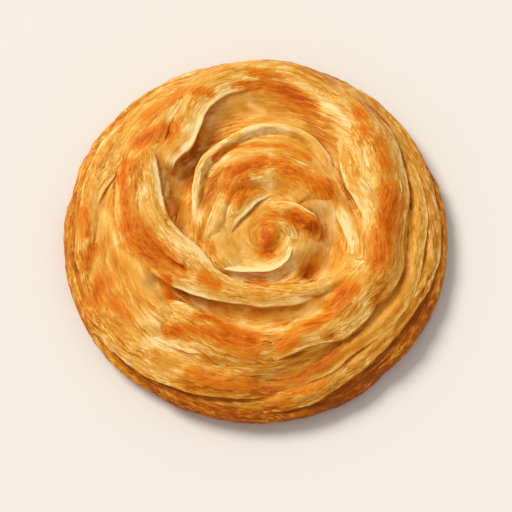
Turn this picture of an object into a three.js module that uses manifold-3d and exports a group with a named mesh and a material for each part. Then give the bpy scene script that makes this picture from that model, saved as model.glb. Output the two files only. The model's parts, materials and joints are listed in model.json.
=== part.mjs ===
// Layered paratha: a flatbread coiled from one pleated rope of dough, pressed flat and pan-toasted.
// Millimetres, +Z up. The flat underside lies on z = 0 and the origin is at its middle.
//
// The bread is one solid. A plain body carries the folds of the coil. Places on it are given on its
// skin, as an angle (degrees, counter-clockwise from +X) and a distance over the skin from a centre.
// Heights are levels above the plain skin, so a fold on the rim stands out sideways.

import * as THREE from 'three';
import { mergeVertices } from 'three/addons/utils/BufferGeometryUtils.js';
import Module from 'manifold-3d';

const wasm = await Module();
wasm.setup();

// ---- Driving dimensions ----
const BODY_RADIUS = 88.5; // the folds bring the bread to about 180 across
const SHOULDER_HEIGHT = 20; // plain body under the folds
const WIDEST_HEIGHT = 6.5; // where the rim stands out furthest
const FOOT_RADIUS = 82; // edge of the flat underside
const DOME_SQUARENESS = 4; // a higher power gives a flatter top and a rounder shoulder
const LAYER = 1.1; // thickness of a free edge of dough
const BURIED = 1.6; // depth of the folds' roots under the body's surface
const TAIL_SUNK = 0.5; // depth of a tucked tail under it
const END_SUNK = 1; // depth of the ends of a fold under it

const MIDDLE = [0, 0]; // of the bread
const EYE = [7, -4]; // of the coil, off the middle

const INWARD = -1;
const OUTWARD = 1;
const TUCKED = -1; // a tail that dives into the body

// ---- Resolution ----
const PROFILE_STEPS = 120;
const BODY_RINGS = 18;
const WEDGES = 6; // ring i of the body has WEDGES * i sides
const LIP_STEP = 4; // along a fold at the middle of the bread, longer towards the rim
const LIP_STEP_GROWTH = 0.05;

// Relief of the body: broad swells that carry the turns of the coil, and hollows left between them.
// Each follows a path and has a height or depth, one number or a list spread evenly along it, and a
// half-width.
const SWELLS = [
  // the ring: left, back, right
  {
    about: MIDDLE, height: 5.5, spread: 13,
    path: [[126, 68], [146, 61], [168, 55], [188, 52], [208, 55], [224, 60]],
  },
  {
    about: MIDDLE, height: 4.5, spread: 11,
    path: [[52, 73], [72, 77], [94, 76], [112, 72], [128, 66]],
  },
  {
    about: MIDDLE, height: 6, spread: 12,
    path: [[304, 56], [322, 57], [342, 59], [2, 60], [22, 62], [42, 67], [56, 73]],
  },
  // the front, and the lower band in front of the eye
  {
    about: MIDDLE, height: 3, spread: 12,
    path: [[214, 62], [236, 60], [258, 59], [278, 57], [300, 57]],
  },
  {
    about: MIDDLE, height: 3.5, spread: 6,
    path: [[206, 42], [224, 36], [250, 33.5], [276, 34.5], [300, 39], [318, 47]],
  },
  // the mound, and the bowl and the knob of the eye in it
  {
    about: EYE, height: 4.2, spread: 13,
    path: [[205, 25], [175, 27], [140, 31], [105, 36], [80, 37], [55, 34], [35, 29]],
  },
  {
    about: EYE, height: 3.1, spread: 15,
    path: [[190, 10], [60, 10], [0, 12]],
  },
  {
    about: EYE, height: 4.6, spread: 6,
    path: [[250, 4], [60, 3]],
  },
];
const HOLLOWS = [
  // the crescent gap behind and left of the inner mound, deepest at its left
  {
    about: MIDDLE, depth: [0.8, 1.8, 2.8, 4.6, 6.6, 7.4], spread: 8,
    path: [[40, 54], [66, 59], [90, 59], [112, 53], [130, 46], [150, 40]],
  },
  {
    about: MIDDLE, depth: [6, 7, 6, 3], spread: 4.5,
    path: [[142, 44], [160, 38], [178, 33], [196, 28]],
  },
  // the pit right of the eye, and the channel in front of the saucer
  {
    about: MIDDLE, depth: [5.5, 7, 8, 9.5], spread: 5.8,
    path: [[6, 31], [350, 35], [334, 36], [322, 33]],
  },
  {
    about: MIDDLE, depth: 3, spread: 3,
    path: [[318, 27], [296, 26.5], [270, 25.5], [244, 27]],
  },
  // the lens-shaped recess in front of the lower band
  {
    about: MIDDLE, depth: 5, spread: 4.5,
    path: [[212, 53], [236, 47], [262, 45.5], [288, 48], [306, 51]],
  },
  // the trough along the left rim
  {
    about: MIDDLE, depth: 1.6, spread: 4.5,
    path: [[152, 72], [170, 71], [190, 68], [206, 63]],
  },
  // the trough outside the long front and right edge
  {
    about: MIDDLE, depth: 2.6, spread: 4,
    path: [[14, 77], [348, 74], [326, 72.5], [306, 70.5], [286, 70], [272, 74]],
  },
];

// Folds of dough. `edge` is the path of the free edge and `faces` the side it drops to. `reach` is how
// far the fold runs back from it. The levels are those of the edge (`lip`), of the fold's back
// (`crest`) and of its far side (`tail`). A list of numbers is spread evenly along the fold. `ends`
// are the lengths over which the fold rises out of the body at its start and its end.
const FOLDS = [
  // the back of the ring, ending in a leaf over the crescent gap
  {
    about: MIDDLE, faces: INWARD, ends: [50, 5],
    edge: [[34, 60], [48, 64], [60, 67], [72, 69.5], [85, 70.2], [100, 67.3], [107, 64.2], [113, 59.9],
      [118, 54.4], [127, 49], [136, 48.4], [147, 47.6]],
    reach: [20, 22, 23, 23, 19, 12],
    lip: [0.5, 1, 1.6, 3.4, 5.2, 4],
    crest: [3.6, 4.6, 5.8, 6.6, 6.4, 5],
    tail: TUCKED,
  },
  // the right of the ring, with the long edge that runs round to the front
  {
    about: MIDDLE, faces: OUTWARD, ends: [50, 26],
    edge: [[66, 87], [52, 84], [40, 80.8], [30, 77.5], [14, 73.3], [5, 70], [356, 68.3], [342, 70.3],
      [333, 68.9], [325, 66.7], [318, 67], [309, 67.3], [304, 66], [295, 62.9], [284, 63.3], [275, 65.8],
      [268, 68]],
    reach: [20, 26, 28, 28, 26, 24, 22, 18, 14, 10],
    lip: [1, 2, 3.2, 3.6, 3.6, 3.6, 3.6, 3.6, 3.6, 3.2],
    crest: [6, 8, 8.3, 8.3, 8.2, 7.4, 6, 5.2, 4.8, 4.2],
    tail: TUCKED,
  },
  // the inner side of the right of the ring
  {
    about: MIDDLE, faces: INWARD, ends: [52, 24],
    edge: [[63, 62.1], [57, 60.9], [51, 58.4], [45, 54.3], [39, 50.1], [32, 47], [25, 45.6], [19, 45.8],
      [12, 47.2], [7, 48.6], [360, 49.4], [352, 50.4], [344, 52.5], [336, 56]],
    reach: [13, 15, 16, 15, 13],
    lip: [4, 4.8, 5.4, 5.6, 5.6],
    crest: [6.4, 7.6, 8.4, 8.4, 7.6],
    tail: TUCKED,
  },
  // the outer half of the left of the ring, running on as the lower band in front of the eye
  {
    about: MIDDLE, faces: OUTWARD, ends: [24, 30],
    edge: [[136, 70], [154, 69.1], [160, 67.9], [171, 65.3], [179, 63.8], [188, 61.4], [196, 57.6],
      [205, 53.2], [214, 49.6], [223, 46.2], [234, 42.7], [247, 40], [260, 38.8], [272, 39.6],
      [283, 40.4], [296, 42.4], [310, 44.6], [324, 48]],
    reach: [18, 22, 24, 22, 18, 15, 13, 11.5, 11, 12, 12],
    lip: [3.4, 4.5, 5, 5, 4.6, 4.2, 3.4, 3.2, 3.2, 3.4, 3.6],
    crest: [6.2, 7.4, 7.8, 7.6, 7, 6, 5.2, 4.8, 4.8, 5, 5.2],
    tail: TUCKED,
  },
  // the inner half of it, whose edge runs from the leaf down round the eye to the right
  {
    about: MIDDLE, faces: INWARD, ends: [16, 30],
    edge: [[137, 66], [144, 57.2], [150, 51.5], [160, 45.9], [170, 42], [179, 38.2], [186, 34.7],
      [197, 30.4], [206, 27.8], [217, 27.2], [232, 28], [247, 28], [265, 28.5], [279, 29.4], [291, 31.2],
      [303, 34.4], [311, 37.3], [319, 41], [327, 44.6], [335, 47.2], [345, 51.5]],
    reach: [6, 9, 10, 12, 13, 11, 9, 8, 8, 8, 9, 10],
    lip: [5.6, 6.4, 6.4, 6.4, 5.9, 5, 4.1, 3.6, 3.4, 3.6, 4.2, 4.6],
    crest: [6.8, 8, 8.2, 8, 7.2, 6.2, 5.2, 4.8, 4.8, 5, 5.6, 6.2],
    tail: [5.5, 8, 8.2, 8, 6.6, 4.6, 1, TUCKED, TUCKED, TUCKED, TUCKED, TUCKED],
  },
  // the mound inside the ring: a thin band along its rim, with a step down to the floor inside
  {
    about: MIDDLE, faces: OUTWARD, ends: [20, 20],
    edge: [[186, 29], [172, 29.6], [157, 32], [141, 36.8], [129, 41.3], [115, 43.6], [103, 46.3],
      [92, 49.4], [77, 51.8], [61, 51.6], [47, 48.9], [37, 45.5], [26, 42]],
    reach: [6, 6.5, 6.5, 6, 5.5, 6, 7],
    lip: [3.2, 4.4, 4.4, 4.4, 4.4, 4.2, 3.4],
    crest: [4, 5, 5, 5, 5, 4.8, 4],
    tail: TUCKED,
  },
  // the outer turn of the swirl on the mound
  {
    about: EYE, faces: OUTWARD, ends: [18, 18],
    edge: [[163, 30.2], [142, 33.3], [129, 37], [116, 38.3], [100, 38.4], [84, 38.3], [75, 37.9],
      [64, 36.9], [53, 36], [42, 35.5], [30, 34], [18, 31]],
    reach: [14, 18, 20, 20, 15],
    lip: [4.6, 5, 5.2, 5, 4.4],
    crest: [5.4, 6, 6.2, 6, 5],
    tail: TUCKED,
  },
  // the three leaves of the swirl left of the eye
  {
    about: EYE, faces: OUTWARD, ends: [10, 16],
    edge: [[193, 32.7], [181, 30.6], [169, 29.4], [156, 29.1], [145, 30.1], [135, 31.2], [125, 32.3],
      [116, 33]],
    reach: [6, 9, 11, 10],
    lip: [4.2, 5, 5.6, 5.6],
    crest: [4.6, 5.6, 6.2, 6],
    tail: TUCKED,
  },
  {
    about: EYE, faces: OUTWARD, ends: [14, 16],
    edge: [[178, 27], [171, 25.4], [163, 24.4], [151, 24.2], [138, 24.6], [126, 25.1], [113, 25.5],
      [102, 25.6]],
    reach: [9, 11, 11, 10],
    lip: [3.4, 4.8, 5.8, 6],
    crest: [4, 5.6, 6.4, 6.4],
    tail: TUCKED,
  },
  {
    about: EYE, faces: INWARD, ends: [13, 18],
    edge: [[196, 22.4], [188, 20.2], [180, 18.2], [165, 16.1], [147, 14.7], [127, 14.4], [110, 15.9],
      [97, 17.6], [86, 20], [74, 23]],
    reach: [7, 9, 12, 12],
    lip: [3, 4, 4.2, 3.6],
    crest: [3.4, 4.8, 5.4, 4.4],
    tail: TUCKED,
  },
  // the innermost turn, thickest on the right where it drops into the pit
  {
    about: EYE, faces: OUTWARD, ends: [14, 16],
    edge: [[114, 14.5], [99, 15], [85, 15.6], [73, 16.5], [60, 17.7], [48, 19.1], [37, 20.2], [27, 21.4],
      [18, 22.8], [9, 23.3], [358, 22.6], [345, 20.4]],
    reach: [8, 9, 10, 10, 9],
    lip: [3.2, 3.6, 4, 4.2, 3.6],
    crest: [4.6, 5.4, 5.8, 6, 5],
    tail: TUCKED,
  },
  // the saucer round the eye, hollow towards its middle
  {
    about: EYE, faces: OUTWARD, ends: [14, 12],
    edge: [[199, 31.3], [207, 30.3], [216, 28.3], [226, 25.4], [240, 21.6], [258, 19.1], [273, 17.7],
      [286, 16.7], [301, 15.1], [320, 12.6], [338, 12.2], [356, 13.6]],
    reach: [10, 12, 12, 10, 8],
    lip: [2.4, 2.8, 3, 3.2, 3.4],
    crest: [2, 2.2, 2.4, 2.8, 3.6],
    tail: TUCKED,
  },
  // the small turn at the eye itself
  {
    about: EYE, faces: OUTWARD, ends: [10, 12],
    edge: [[176, 6.6], [150, 6.8], [125, 7.1], [100, 7.6], [73, 8.4], [46, 9.4], [25, 10.8], [3, 12],
      [343, 13], [324, 13]],
    reach: [5, 6, 7, 7, 6],
    lip: [4.2, 4.8, 5, 4.8, 3.8],
    crest: [4.6, 5.4, 5.6, 5.2, 4.2],
    tail: TUCKED,
  },
  // the pale sheet hanging in the right of the pit
  {
    about: MIDDLE, faces: INWARD, ends: [22, 14],
    edge: [[34, 36.5], [24, 36.5], [14, 37], [5, 38], [358, 40], [351, 42.4], [344, 44.2], [335, 45.6]],
    reach: [8, 10, 11, 11, 10],
    lip: [0.8, 1.2, 1.6, 1.6, 1.2],
    crest: [2.4, 3, 3.6, 3.8, 3.2],
    tail: TUCKED,
  },
  // a flake beside the leaf
  {
    about: MIDDLE, faces: INWARD, ends: [14, 5],
    edge: [[110, 73], [117, 70], [123, 66.4], [129, 62.6], [134, 59.6], [139, 57.4]],
    reach: [9, 10, 7],
    lip: [5.8, 6.4, 5.2],
    crest: [6.4, 7, 5.8],
    tail: TUCKED,
  },
  // the front of the bread, between the recess and the rim
  {
    about: MIDDLE, faces: INWARD, ends: [18, 30],
    edge: [[212, 60], [221, 53.2], [228, 49.6], [238, 48.4], [247, 49], [256, 51], [268, 53], [282, 54],
      [298, 55]],
    reach: [20, 22, 19, 12, 8],
    lip: [2.6, 3.2, 3.2, 2.8, 2.4],
    crest: [4.2, 4.6, 4.6, 3.8, 3],
    tail: TUCKED,
  },
  {
    about: MIDDLE, faces: OUTWARD, ends: [24, 20],
    edge: [[214, 73], [226, 71], [238, 68.4], [248, 66], [257, 64], [266, 63.2], [276, 64]],
    reach: [12, 15, 15, 12],
    lip: [2, 2.6, 2.6, 2.2],
    crest: [3, 3.6, 3.6, 3],
    tail: TUCKED,
  },
  // the rim in steps: right, low right, front, left and back
  {
    about: MIDDLE, faces: OUTWARD, ends: [36, 32],
    edge: [[40, 84], [26, 82.5], [12, 81], [2, 80], [353, 78.6], [343, 79.3], [333, 79.2], [326, 78.2],
      [318, 76.6], [311, 75.2], [304, 75], [296, 77], [288, 77.6], [282, 80.6], [276, 84.5]],
    reach: [9, 10, 10, 9, 8],
    lip: [1, 1.5, 1.7, 1.7, 1.2],
    crest: [1.3, 1.8, 2, 2, 1.5],
    tail: TUCKED,
  },
  {
    about: MIDDLE, faces: OUTWARD, ends: [28, 28],
    edge: [[34, 90.5], [18, 88.5], [4, 87.2], [352, 87.4], [342, 85.5], [334, 83.5], [325, 82.3],
      [314, 82.4], [304, 83.2], [294, 84.8], [286, 87], [275, 87.4], [262, 89]],
    reach: [10, 10, 10, 11, 10],
    lip: [0.8, 1, 1.1, 1.2, 0.9],
    crest: [1.1, 1.3, 1.4, 1.5, 1.2],
    tail: TUCKED,
  },
  {
    about: MIDDLE, faces: OUTWARD, ends: [30, 30],
    edge: [[196, 92], [207, 91], [216, 88.6], [225, 86.9], [234, 85.4], [243, 84], [252, 82.7],
      [260, 81.4], [270, 80.6], [282, 80]],
    reach: [12, 16, 17, 15, 11],
    lip: [1.2, 1.9, 2.1, 2, 1.4],
    crest: [2, 2.7, 2.9, 2.7, 2],
    tail: TUCKED,
  },
  {
    about: MIDDLE, faces: INWARD, ends: [22, 22],
    edge: [[134, 71.5], [147, 70.3], [158, 70.6], [166, 73.2], [173, 75.2], [181, 75.2], [190, 76],
      [200, 78]],
    reach: [10, 12, 12, 11, 10],
    lip: [0.8, 1, 1.2, 1.1, 0.9],
    crest: [1.4, 1.8, 2, 1.9, 1.5],
    tail: TUCKED,
  },
  {
    about: MIDDLE, faces: OUTWARD, ends: [26, 26],
    edge: [[130, 88.5], [146, 86], [157, 84.6], [165, 83.6], [172, 82.8], [180, 83.4], [190, 84.6],
      [204, 86]],
    reach: [9, 11, 11, 10],
    lip: [1.2, 2.1, 2.2, 1.4],
    crest: [2, 2.8, 2.9, 2.1],
    tail: TUCKED,
  },
  {
    about: MIDDLE, faces: OUTWARD, ends: [32, 32],
    edge: [[40, 89.5], [58, 87], [74, 84.5], [90, 83.5], [106, 84], [122, 86.5], [140, 90]],
    reach: [10, 12, 12, 10],
    lip: [0.9, 1.8, 1.9, 1.1],
    crest: [1.6, 2.4, 2.5, 1.7],
    tail: TUCKED,
  },
];

// The lowest steps of the rim repeat all the way round: overlapping arcs that slope like the coil.
const RIM_ARCS = 5;
const RIM_ARC = { turn: 94, first: 11, near: 92, far: 96.5 };
const RIM_ARC_SHAPE = { reach: 8, lip: 1, crest: 1.5, ends: [34, 34] };

// ---- The plain body and its skin ----

// Half section of the body as Vector2(radius, height), from the middle over the rim to the foot.
function bodySection() {
  const points = [];
  for (let i = 0; i <= PROFILE_STEPS; i++) {
    const rho = Math.sin((i / PROFILE_STEPS) * Math.PI / 2);
    const dome = Math.sqrt(1 - rho ** DOME_SQUARENESS);
    const height = WIDEST_HEIGHT + (SHOULDER_HEIGHT - WIDEST_HEIGHT) * dome;
    points.push(new THREE.Vector2(rho * BODY_RADIUS, height));
  }
  const rimSteps = PROFILE_STEPS / 3;
  for (let i = 1; i <= rimSteps; i++) {
    const turn = (i / rimSteps) * Math.PI / 2;
    const radius = FOOT_RADIUS + (BODY_RADIUS - FOOT_RADIUS) * Math.cos(turn);
    points.push(new THREE.Vector2(radius, WIDEST_HEIGHT * (1 - Math.sin(turn))));
  }
  return points;
}

const section = bodySection();
const distances = [0];
for (let i = 1; i < section.length; i++) {
  distances.push(distances[i - 1] + section[i].distanceTo(section[i - 1]));
}
const footDistance = distances[distances.length - 1];

// Radius and height of the section at a distance over the skin.
function onSection(distance) {
  let i = 1;
  while (i < section.length - 1 && distances[i] < distance) i++;
  const share = Math.min(1, (distance - distances[i - 1]) / (distances[i] - distances[i - 1]));
  return new THREE.Vector2().lerpVectors(section[i - 1], section[i], share);
}

// Point above a place on the skin. The place is a Vector2: its length is the distance over the skin
// from the middle, and its direction is the angle.
function onSkin(place, level) {
  const distance = Math.max(place.length(), 1e-6);
  const point = onSection(distance);
  const half = 0.5;
  const slope = onSection(distance + half).sub(onSection(Math.max(distance - half, 0))).normalize();
  const radius = point.x - slope.y * level;
  const height = point.y + slope.x * level;
  return new THREE.Vector3((radius * place.x) / distance, (radius * place.y) / distance, height);
}

// Place on the skin from an angle and a distance about a centre.
function placeAt([angle, distance], about) {
  const turn = THREE.MathUtils.degToRad(angle);
  return new THREE.Vector2(about[0] + distance * Math.cos(turn), about[1] + distance * Math.sin(turn));
}

function curveOf(path, about) {
  return new THREE.SplineCurve(path.map((polar) => placeAt(polar, about)));
}

// Value along a path: a number, or a list spread evenly from its start (0) to its end (1).
function along(values, share) {
  if (typeof values === 'number') return values;
  const x = share * (values.length - 1);
  const i = Math.min(Math.floor(x), values.length - 2);
  return THREE.MathUtils.lerp(values[i], values[i + 1], x - i);
}

// Points along each channel, each with its size.
function channelsOf(list, amount) {
  return list.map((channel) => {
    const points = curveOf(channel.path, channel.about).getSpacedPoints(4 * channel.path.length);
    const sizes = points.map((point, i) => along(channel[amount], i / (points.length - 1)));
    return { points, sizes, spread: channel.spread };
  });
}

const swells = channelsOf(SWELLS, 'height');
const hollows = channelsOf(HOLLOWS, 'depth');

function strongest(channels, place) {
  let most = 0;
  for (const { points, sizes, spread } of channels) {
    points.forEach((point, i) => {
      most = Math.max(most, sizes[i] * Math.exp(-((point.distanceTo(place) / spread) ** 2)));
    });
  }
  return most;
}

// Level of the body's real surface above its plain skin.
function relief(place) {
  return strongest(swells, place) - strongest(hollows, place);
}

function geometryOf(positions, faces) {
  const geometry = new THREE.BufferGeometry();
  geometry.setAttribute('position', new THREE.Float32BufferAttribute(positions, 3));
  geometry.setIndex(faces);
  return geometry;
}

// Rings of places round the middle, each with six more sides than the one inside it.
function bodyGeometry() {
  const positions = onSkin(new THREE.Vector2(), relief(new THREE.Vector2())).toArray();
  const faces = [];
  const firstOf = (ring) => 1 + (WEDGES * ring * (ring - 1)) / 2;
  const at = (ring, k) => (ring === 0 ? 0 : firstOf(ring) + (k % (WEDGES * ring)));
  for (let ring = 1; ring <= BODY_RINGS; ring++) {
    const distance = (ring / BODY_RINGS) * footDistance;
    for (let k = 0; k < WEDGES * ring; k++) {
      const place = placeAt([(360 * k) / (WEDGES * ring), distance], MIDDLE);
      const level = ring < BODY_RINGS ? relief(place) : 0;
      positions.push(...onSkin(place, level).toArray());
    }
    for (let wedge = 0; wedge < WEDGES; wedge++) {
      for (let j = 0; j < ring; j++) {
        const inner = wedge * (ring - 1) + j;
        const outer = wedge * ring + j;
        faces.push(at(ring - 1, inner), at(ring, outer), at(ring, outer + 1));
        if (j < ring - 1) faces.push(at(ring - 1, inner), at(ring, outer + 1), at(ring - 1, inner + 1));
      }
    }
  }
  const foot = positions.length / 3;
  positions.push(0, 0, 0);
  for (let k = 0; k < WEDGES * BODY_RINGS; k++) {
    faces.push(at(BODY_RINGS, k + 1), at(BODY_RINGS, k), foot);
  }
  return geometryOf(positions, faces);
}

// ---- Folds ----

// Section of a fold as [distance behind the edge, level], round from the root under the edge.
// `ground` is the level of the body there.
function foldSection(reach, lip, crest, tail, ground) {
  const free = tail > ground;
  const sunk = ground - TAIL_SUNK;
  const falling = free ? THREE.MathUtils.lerp(crest, tail, 0.4) : THREE.MathUtils.lerp(crest, sunk, 0.57);
  return [
    [1.8, ground - BURIED],
    [0.3, lip - LAYER],
    [0, lip],
    [reach * 0.16, lip + (crest - lip) * 0.52],
    [reach * 0.42, crest],
    [reach * 0.74, falling],
    [reach, free ? tail : sunk],
    [free ? reach - 1.4 : reach * 0.9, ground - BURIED - 0.4],
  ];
}

function foldGeometry({ about, edge, faces: side, reach, lip, crest, tail, ends }) {
  const curve = curveOf(edge, about);
  const length = curve.getLength();
  const spacing = LIP_STEP + LIP_STEP_GROWTH * curve.getPointAt(0.5).length();
  const steps = Math.round(length / spacing);
  const middle = curve.getTangentAt(0.5);
  const outwards = curve.getPointAt(0.5).sub(new THREE.Vector2(...about));
  const leftIsOut = middle.x * outwards.y - middle.y * outwards.x > 0;
  const backSign = leftIsOut === (side === OUTWARD) ? -1 : 1;

  const positions = [];
  let corners = 0;
  for (let i = 0; i <= steps; i++) {
    const share = i / steps;
    const onEdge = curve.getPointAt(share);
    const tangent = curve.getTangentAt(share);
    const back = new THREE.Vector2(-tangent.y, tangent.x).multiplyScalar(backSign);
    const fromStart = THREE.MathUtils.smoothstep(share * length, 0, ends[0]);
    const toEnd = THREE.MathUtils.smoothstep((1 - share) * length, 0, ends[1]);
    const rise = Math.min(fromStart, toEnd);
    const width = along(reach, share) * (0.3 + 0.7 * rise);
    const behind = foldSection(width, 0, 0, 0, 0).map((corner) => corner[0]);
    const grounds = behind.map((distance) => relief(onEdge.clone().addScaledVector(back, distance)));
    const ring = behind.map((distance, corner) => {
      const ground = grounds[corner];
      const sink = (values) => THREE.MathUtils.lerp(ground - END_SUNK, along(values, share), rise);
      const tailLevel = along(tail, share) > 0 ? sink(tail) : -Infinity;
      return foldSection(width, sink(lip), sink(crest), tailLevel, ground)[corner];
    });
    corners = ring.length;
    for (const [distance, level] of ring) {
      positions.push(...onSkin(onEdge.clone().addScaledVector(back, distance), level).toArray());
    }
  }
  const faces = [];
  const at = (i, corner) => i * corners + (corner % corners);
  for (let i = 0; i < steps; i++) {
    for (let corner = 0; corner < corners; corner++) {
      faces.push(at(i, corner), at(i, corner + 1), at(i + 1, corner + 1));
      faces.push(at(i, corner), at(i + 1, corner + 1), at(i + 1, corner));
    }
  }
  for (let corner = 1; corner < corners - 1; corner++) {
    faces.push(at(0, 0), at(0, corner + 1), at(0, corner));
    faces.push(at(steps, 0), at(steps, corner), at(steps, corner + 1));
  }
  if (backSign > 0) faces.reverse();
  return geometryOf(positions, faces);
}

function rimFolds() {
  const folds = [];
  for (let i = 0; i < RIM_ARCS; i++) {
    const { turn, first, near, far } = RIM_ARC;
    const edge = [0, 0.25, 0.5, 0.75, 1].map((share) => [
      first + (i / RIM_ARCS) * 360 + share * turn,
      THREE.MathUtils.lerp(near, far, share),
    ]);
    folds.push({ about: MIDDLE, faces: OUTWARD, edge, tail: TUCKED, ...RIM_ARC_SHAPE });
  }
  return folds;
}

// ---- Joining ----

function toSolid(geometry) {
  const merged = mergeVertices(geometry);
  const vertProperties = new Float32Array(merged.attributes.position.array);
  const triVerts = new Uint32Array(merged.index.array);
  return new wasm.Manifold(new wasm.Mesh({ numProp: 3, vertProperties, triVerts }));
}

function fused(geometries) {
  const joined = geometries.map(toSolid).reduce((all, next) => all.add(next));
  const pieces = joined.decompose();
  const whole = pieces.reduce((best, next) => (next.volume() > best.volume() ? next : best));
  const mesh = whole.getMesh();
  return geometryOf(Array.from(mesh.vertProperties), Array.from(mesh.triVerts));
}

const paratha = new THREE.Group();
const bread = fused([bodyGeometry(), ...[...FOLDS, ...rimFolds()].map(foldGeometry)]);
bread.computeBoundingBox();
const centre = bread.boundingBox.getCenter(new THREE.Vector3());
bread.translate(-centre.x, -centre.y, 0);
bread.computeVertexNormals();
const toasted = new THREE.MeshStandardMaterial({ color: 0xd9953f, roughness: 0.6, metalness: 0 });
const mesh = new THREE.Mesh(bread, toasted);
mesh.name = 'paratha';
paratha.add(mesh);

export default paratha;
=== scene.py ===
"""A layered paratha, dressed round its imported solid.

The bread is one piece. A plain body and the folds of the coil, the same as in the solid, are swept in
fine steps with torn edges and the thin terraces of flaky layers, and joined into one closed mesh.
The form is worked out in millimetres: a place on the bread is an angle (degrees, counter-clockwise
from +X) and a distance over its skin from a centre, and a level is a height above the plain skin.
"""

import json
import math
from functools import reduce

import bmesh
import bpy
import numpy as np
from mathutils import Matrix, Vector

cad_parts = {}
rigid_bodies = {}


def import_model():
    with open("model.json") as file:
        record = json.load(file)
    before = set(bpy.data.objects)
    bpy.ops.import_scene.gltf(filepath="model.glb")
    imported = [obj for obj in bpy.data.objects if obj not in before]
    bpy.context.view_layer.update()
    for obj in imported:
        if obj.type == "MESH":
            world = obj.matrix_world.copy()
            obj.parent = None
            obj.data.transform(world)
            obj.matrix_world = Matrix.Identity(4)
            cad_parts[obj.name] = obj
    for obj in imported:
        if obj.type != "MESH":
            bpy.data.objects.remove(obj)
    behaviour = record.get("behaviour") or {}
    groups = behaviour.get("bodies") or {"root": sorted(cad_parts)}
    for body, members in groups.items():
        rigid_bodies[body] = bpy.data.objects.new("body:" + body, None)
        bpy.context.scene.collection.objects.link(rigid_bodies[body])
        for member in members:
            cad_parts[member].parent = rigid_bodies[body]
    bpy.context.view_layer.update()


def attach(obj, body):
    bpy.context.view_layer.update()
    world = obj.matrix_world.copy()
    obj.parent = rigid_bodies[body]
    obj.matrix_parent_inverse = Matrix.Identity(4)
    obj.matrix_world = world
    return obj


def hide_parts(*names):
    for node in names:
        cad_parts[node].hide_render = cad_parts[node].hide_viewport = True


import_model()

MM = 0.001

# ---- Camera: looks along +Y, down on the bread ----
CAMERA_ELEVATION = math.radians(70.7)
CAMERA_DISTANCE = 0.9
CAMERA_AIM = Vector((0.0002, -0.0071, 0.0))
CAMERA_LENS = 134.6
CAMERA_SENSOR = 36.0
CAMERA_CLIP_START = 0.01

# ---- The form, in mm and degrees, the same as in the solid ----
BODY_RADIUS = 88.5
SHOULDER_HEIGHT = 20.0
WIDEST_HEIGHT = 6.5
FOOT_RADIUS = 82.0
DOME_SQUARENESS = 4
LAYER = 0.8
BURIED = 1.6
MIDDLE = (0.0, 0.0)
EYE = (7.0, -4.0)
INWARD = -1
OUTWARD = 1
TUCKED = -1
# What holds where a row of the tables doesn't say.
CHANNEL_DEFAULTS = {"about": MIDDLE}
FOLD_DEFAULTS = {"about": MIDDLE, "faces": OUTWARD, "tail": TUCKED}

SWELLS = [
    # the ring: left, back, right
    {"height": 5.5, "spread": 13,
     "path": [(126, 68), (146, 61), (168, 55), (188, 52), (208, 55), (224, 60)]},
    {"height": 4.5, "spread": 11, "path": [(52, 73), (72, 77), (94, 76), (112, 72), (128, 66)]},
    {"height": 6, "spread": 12,
     "path": [(304, 56), (322, 57), (342, 59), (2, 60), (22, 62), (42, 67), (56, 73)]},
    # the front, and the lower band in front of the eye
    {"height": 3, "spread": 12, "path": [(214, 62), (236, 60), (258, 59), (278, 57), (300, 57)]},
    {"height": 3.5, "spread": 6,
     "path": [(206, 42), (224, 36), (250, 33.5), (276, 34.5), (300, 39), (318, 47)]},
    # the mound, and the bowl and the knob of the eye in it
    {"about": EYE, "height": 4.2, "spread": 13,
     "path": [(205, 25), (175, 27), (140, 31), (105, 36), (80, 37), (55, 34), (35, 29)]},
    {"about": EYE, "height": 3.1, "spread": 15, "path": [(190, 10), (60, 10), (0, 12)]},
    {"about": EYE, "height": 4.6, "spread": 6, "path": [(250, 4), (60, 3)]},
]
HOLLOWS = [
    # the crescent gap behind and left of the inner mound, deepest at its left
    {"depth": [0.8, 1.8, 2.8, 4.6, 6.6, 7.4], "spread": 8,
     "path": [(40, 54), (66, 59), (90, 59), (112, 53), (130, 46), (150, 40)]},
    {"depth": [6, 7, 6, 3], "spread": 4.5, "path": [(142, 44), (160, 38), (178, 33), (196, 28)]},
    # the pit right of the eye, and the channel in front of the saucer
    {"depth": [5.5, 7, 8, 9.5], "spread": 5.8, "path": [(6, 31), (350, 35), (334, 36), (322, 33)]},
    {"depth": 3, "spread": 3, "path": [(318, 27), (296, 26.5), (270, 25.5), (244, 27)]},
    # the lens-shaped recess in front of the lower band
    {"depth": 5, "spread": 4.5, "path": [(212, 53), (236, 47), (262, 45.5), (288, 48), (306, 51)]},
    # the trough along the left rim
    {"depth": 1.6, "spread": 4.5, "path": [(152, 72), (170, 71), (190, 68), (206, 63)]},
    # the trough outside the long front and right edge
    {"depth": 2.6, "spread": 4,
     "path": [(14, 77), (348, 74), (326, 72.5), (306, 70.5), (286, 70), (272, 74)]},
]
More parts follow.
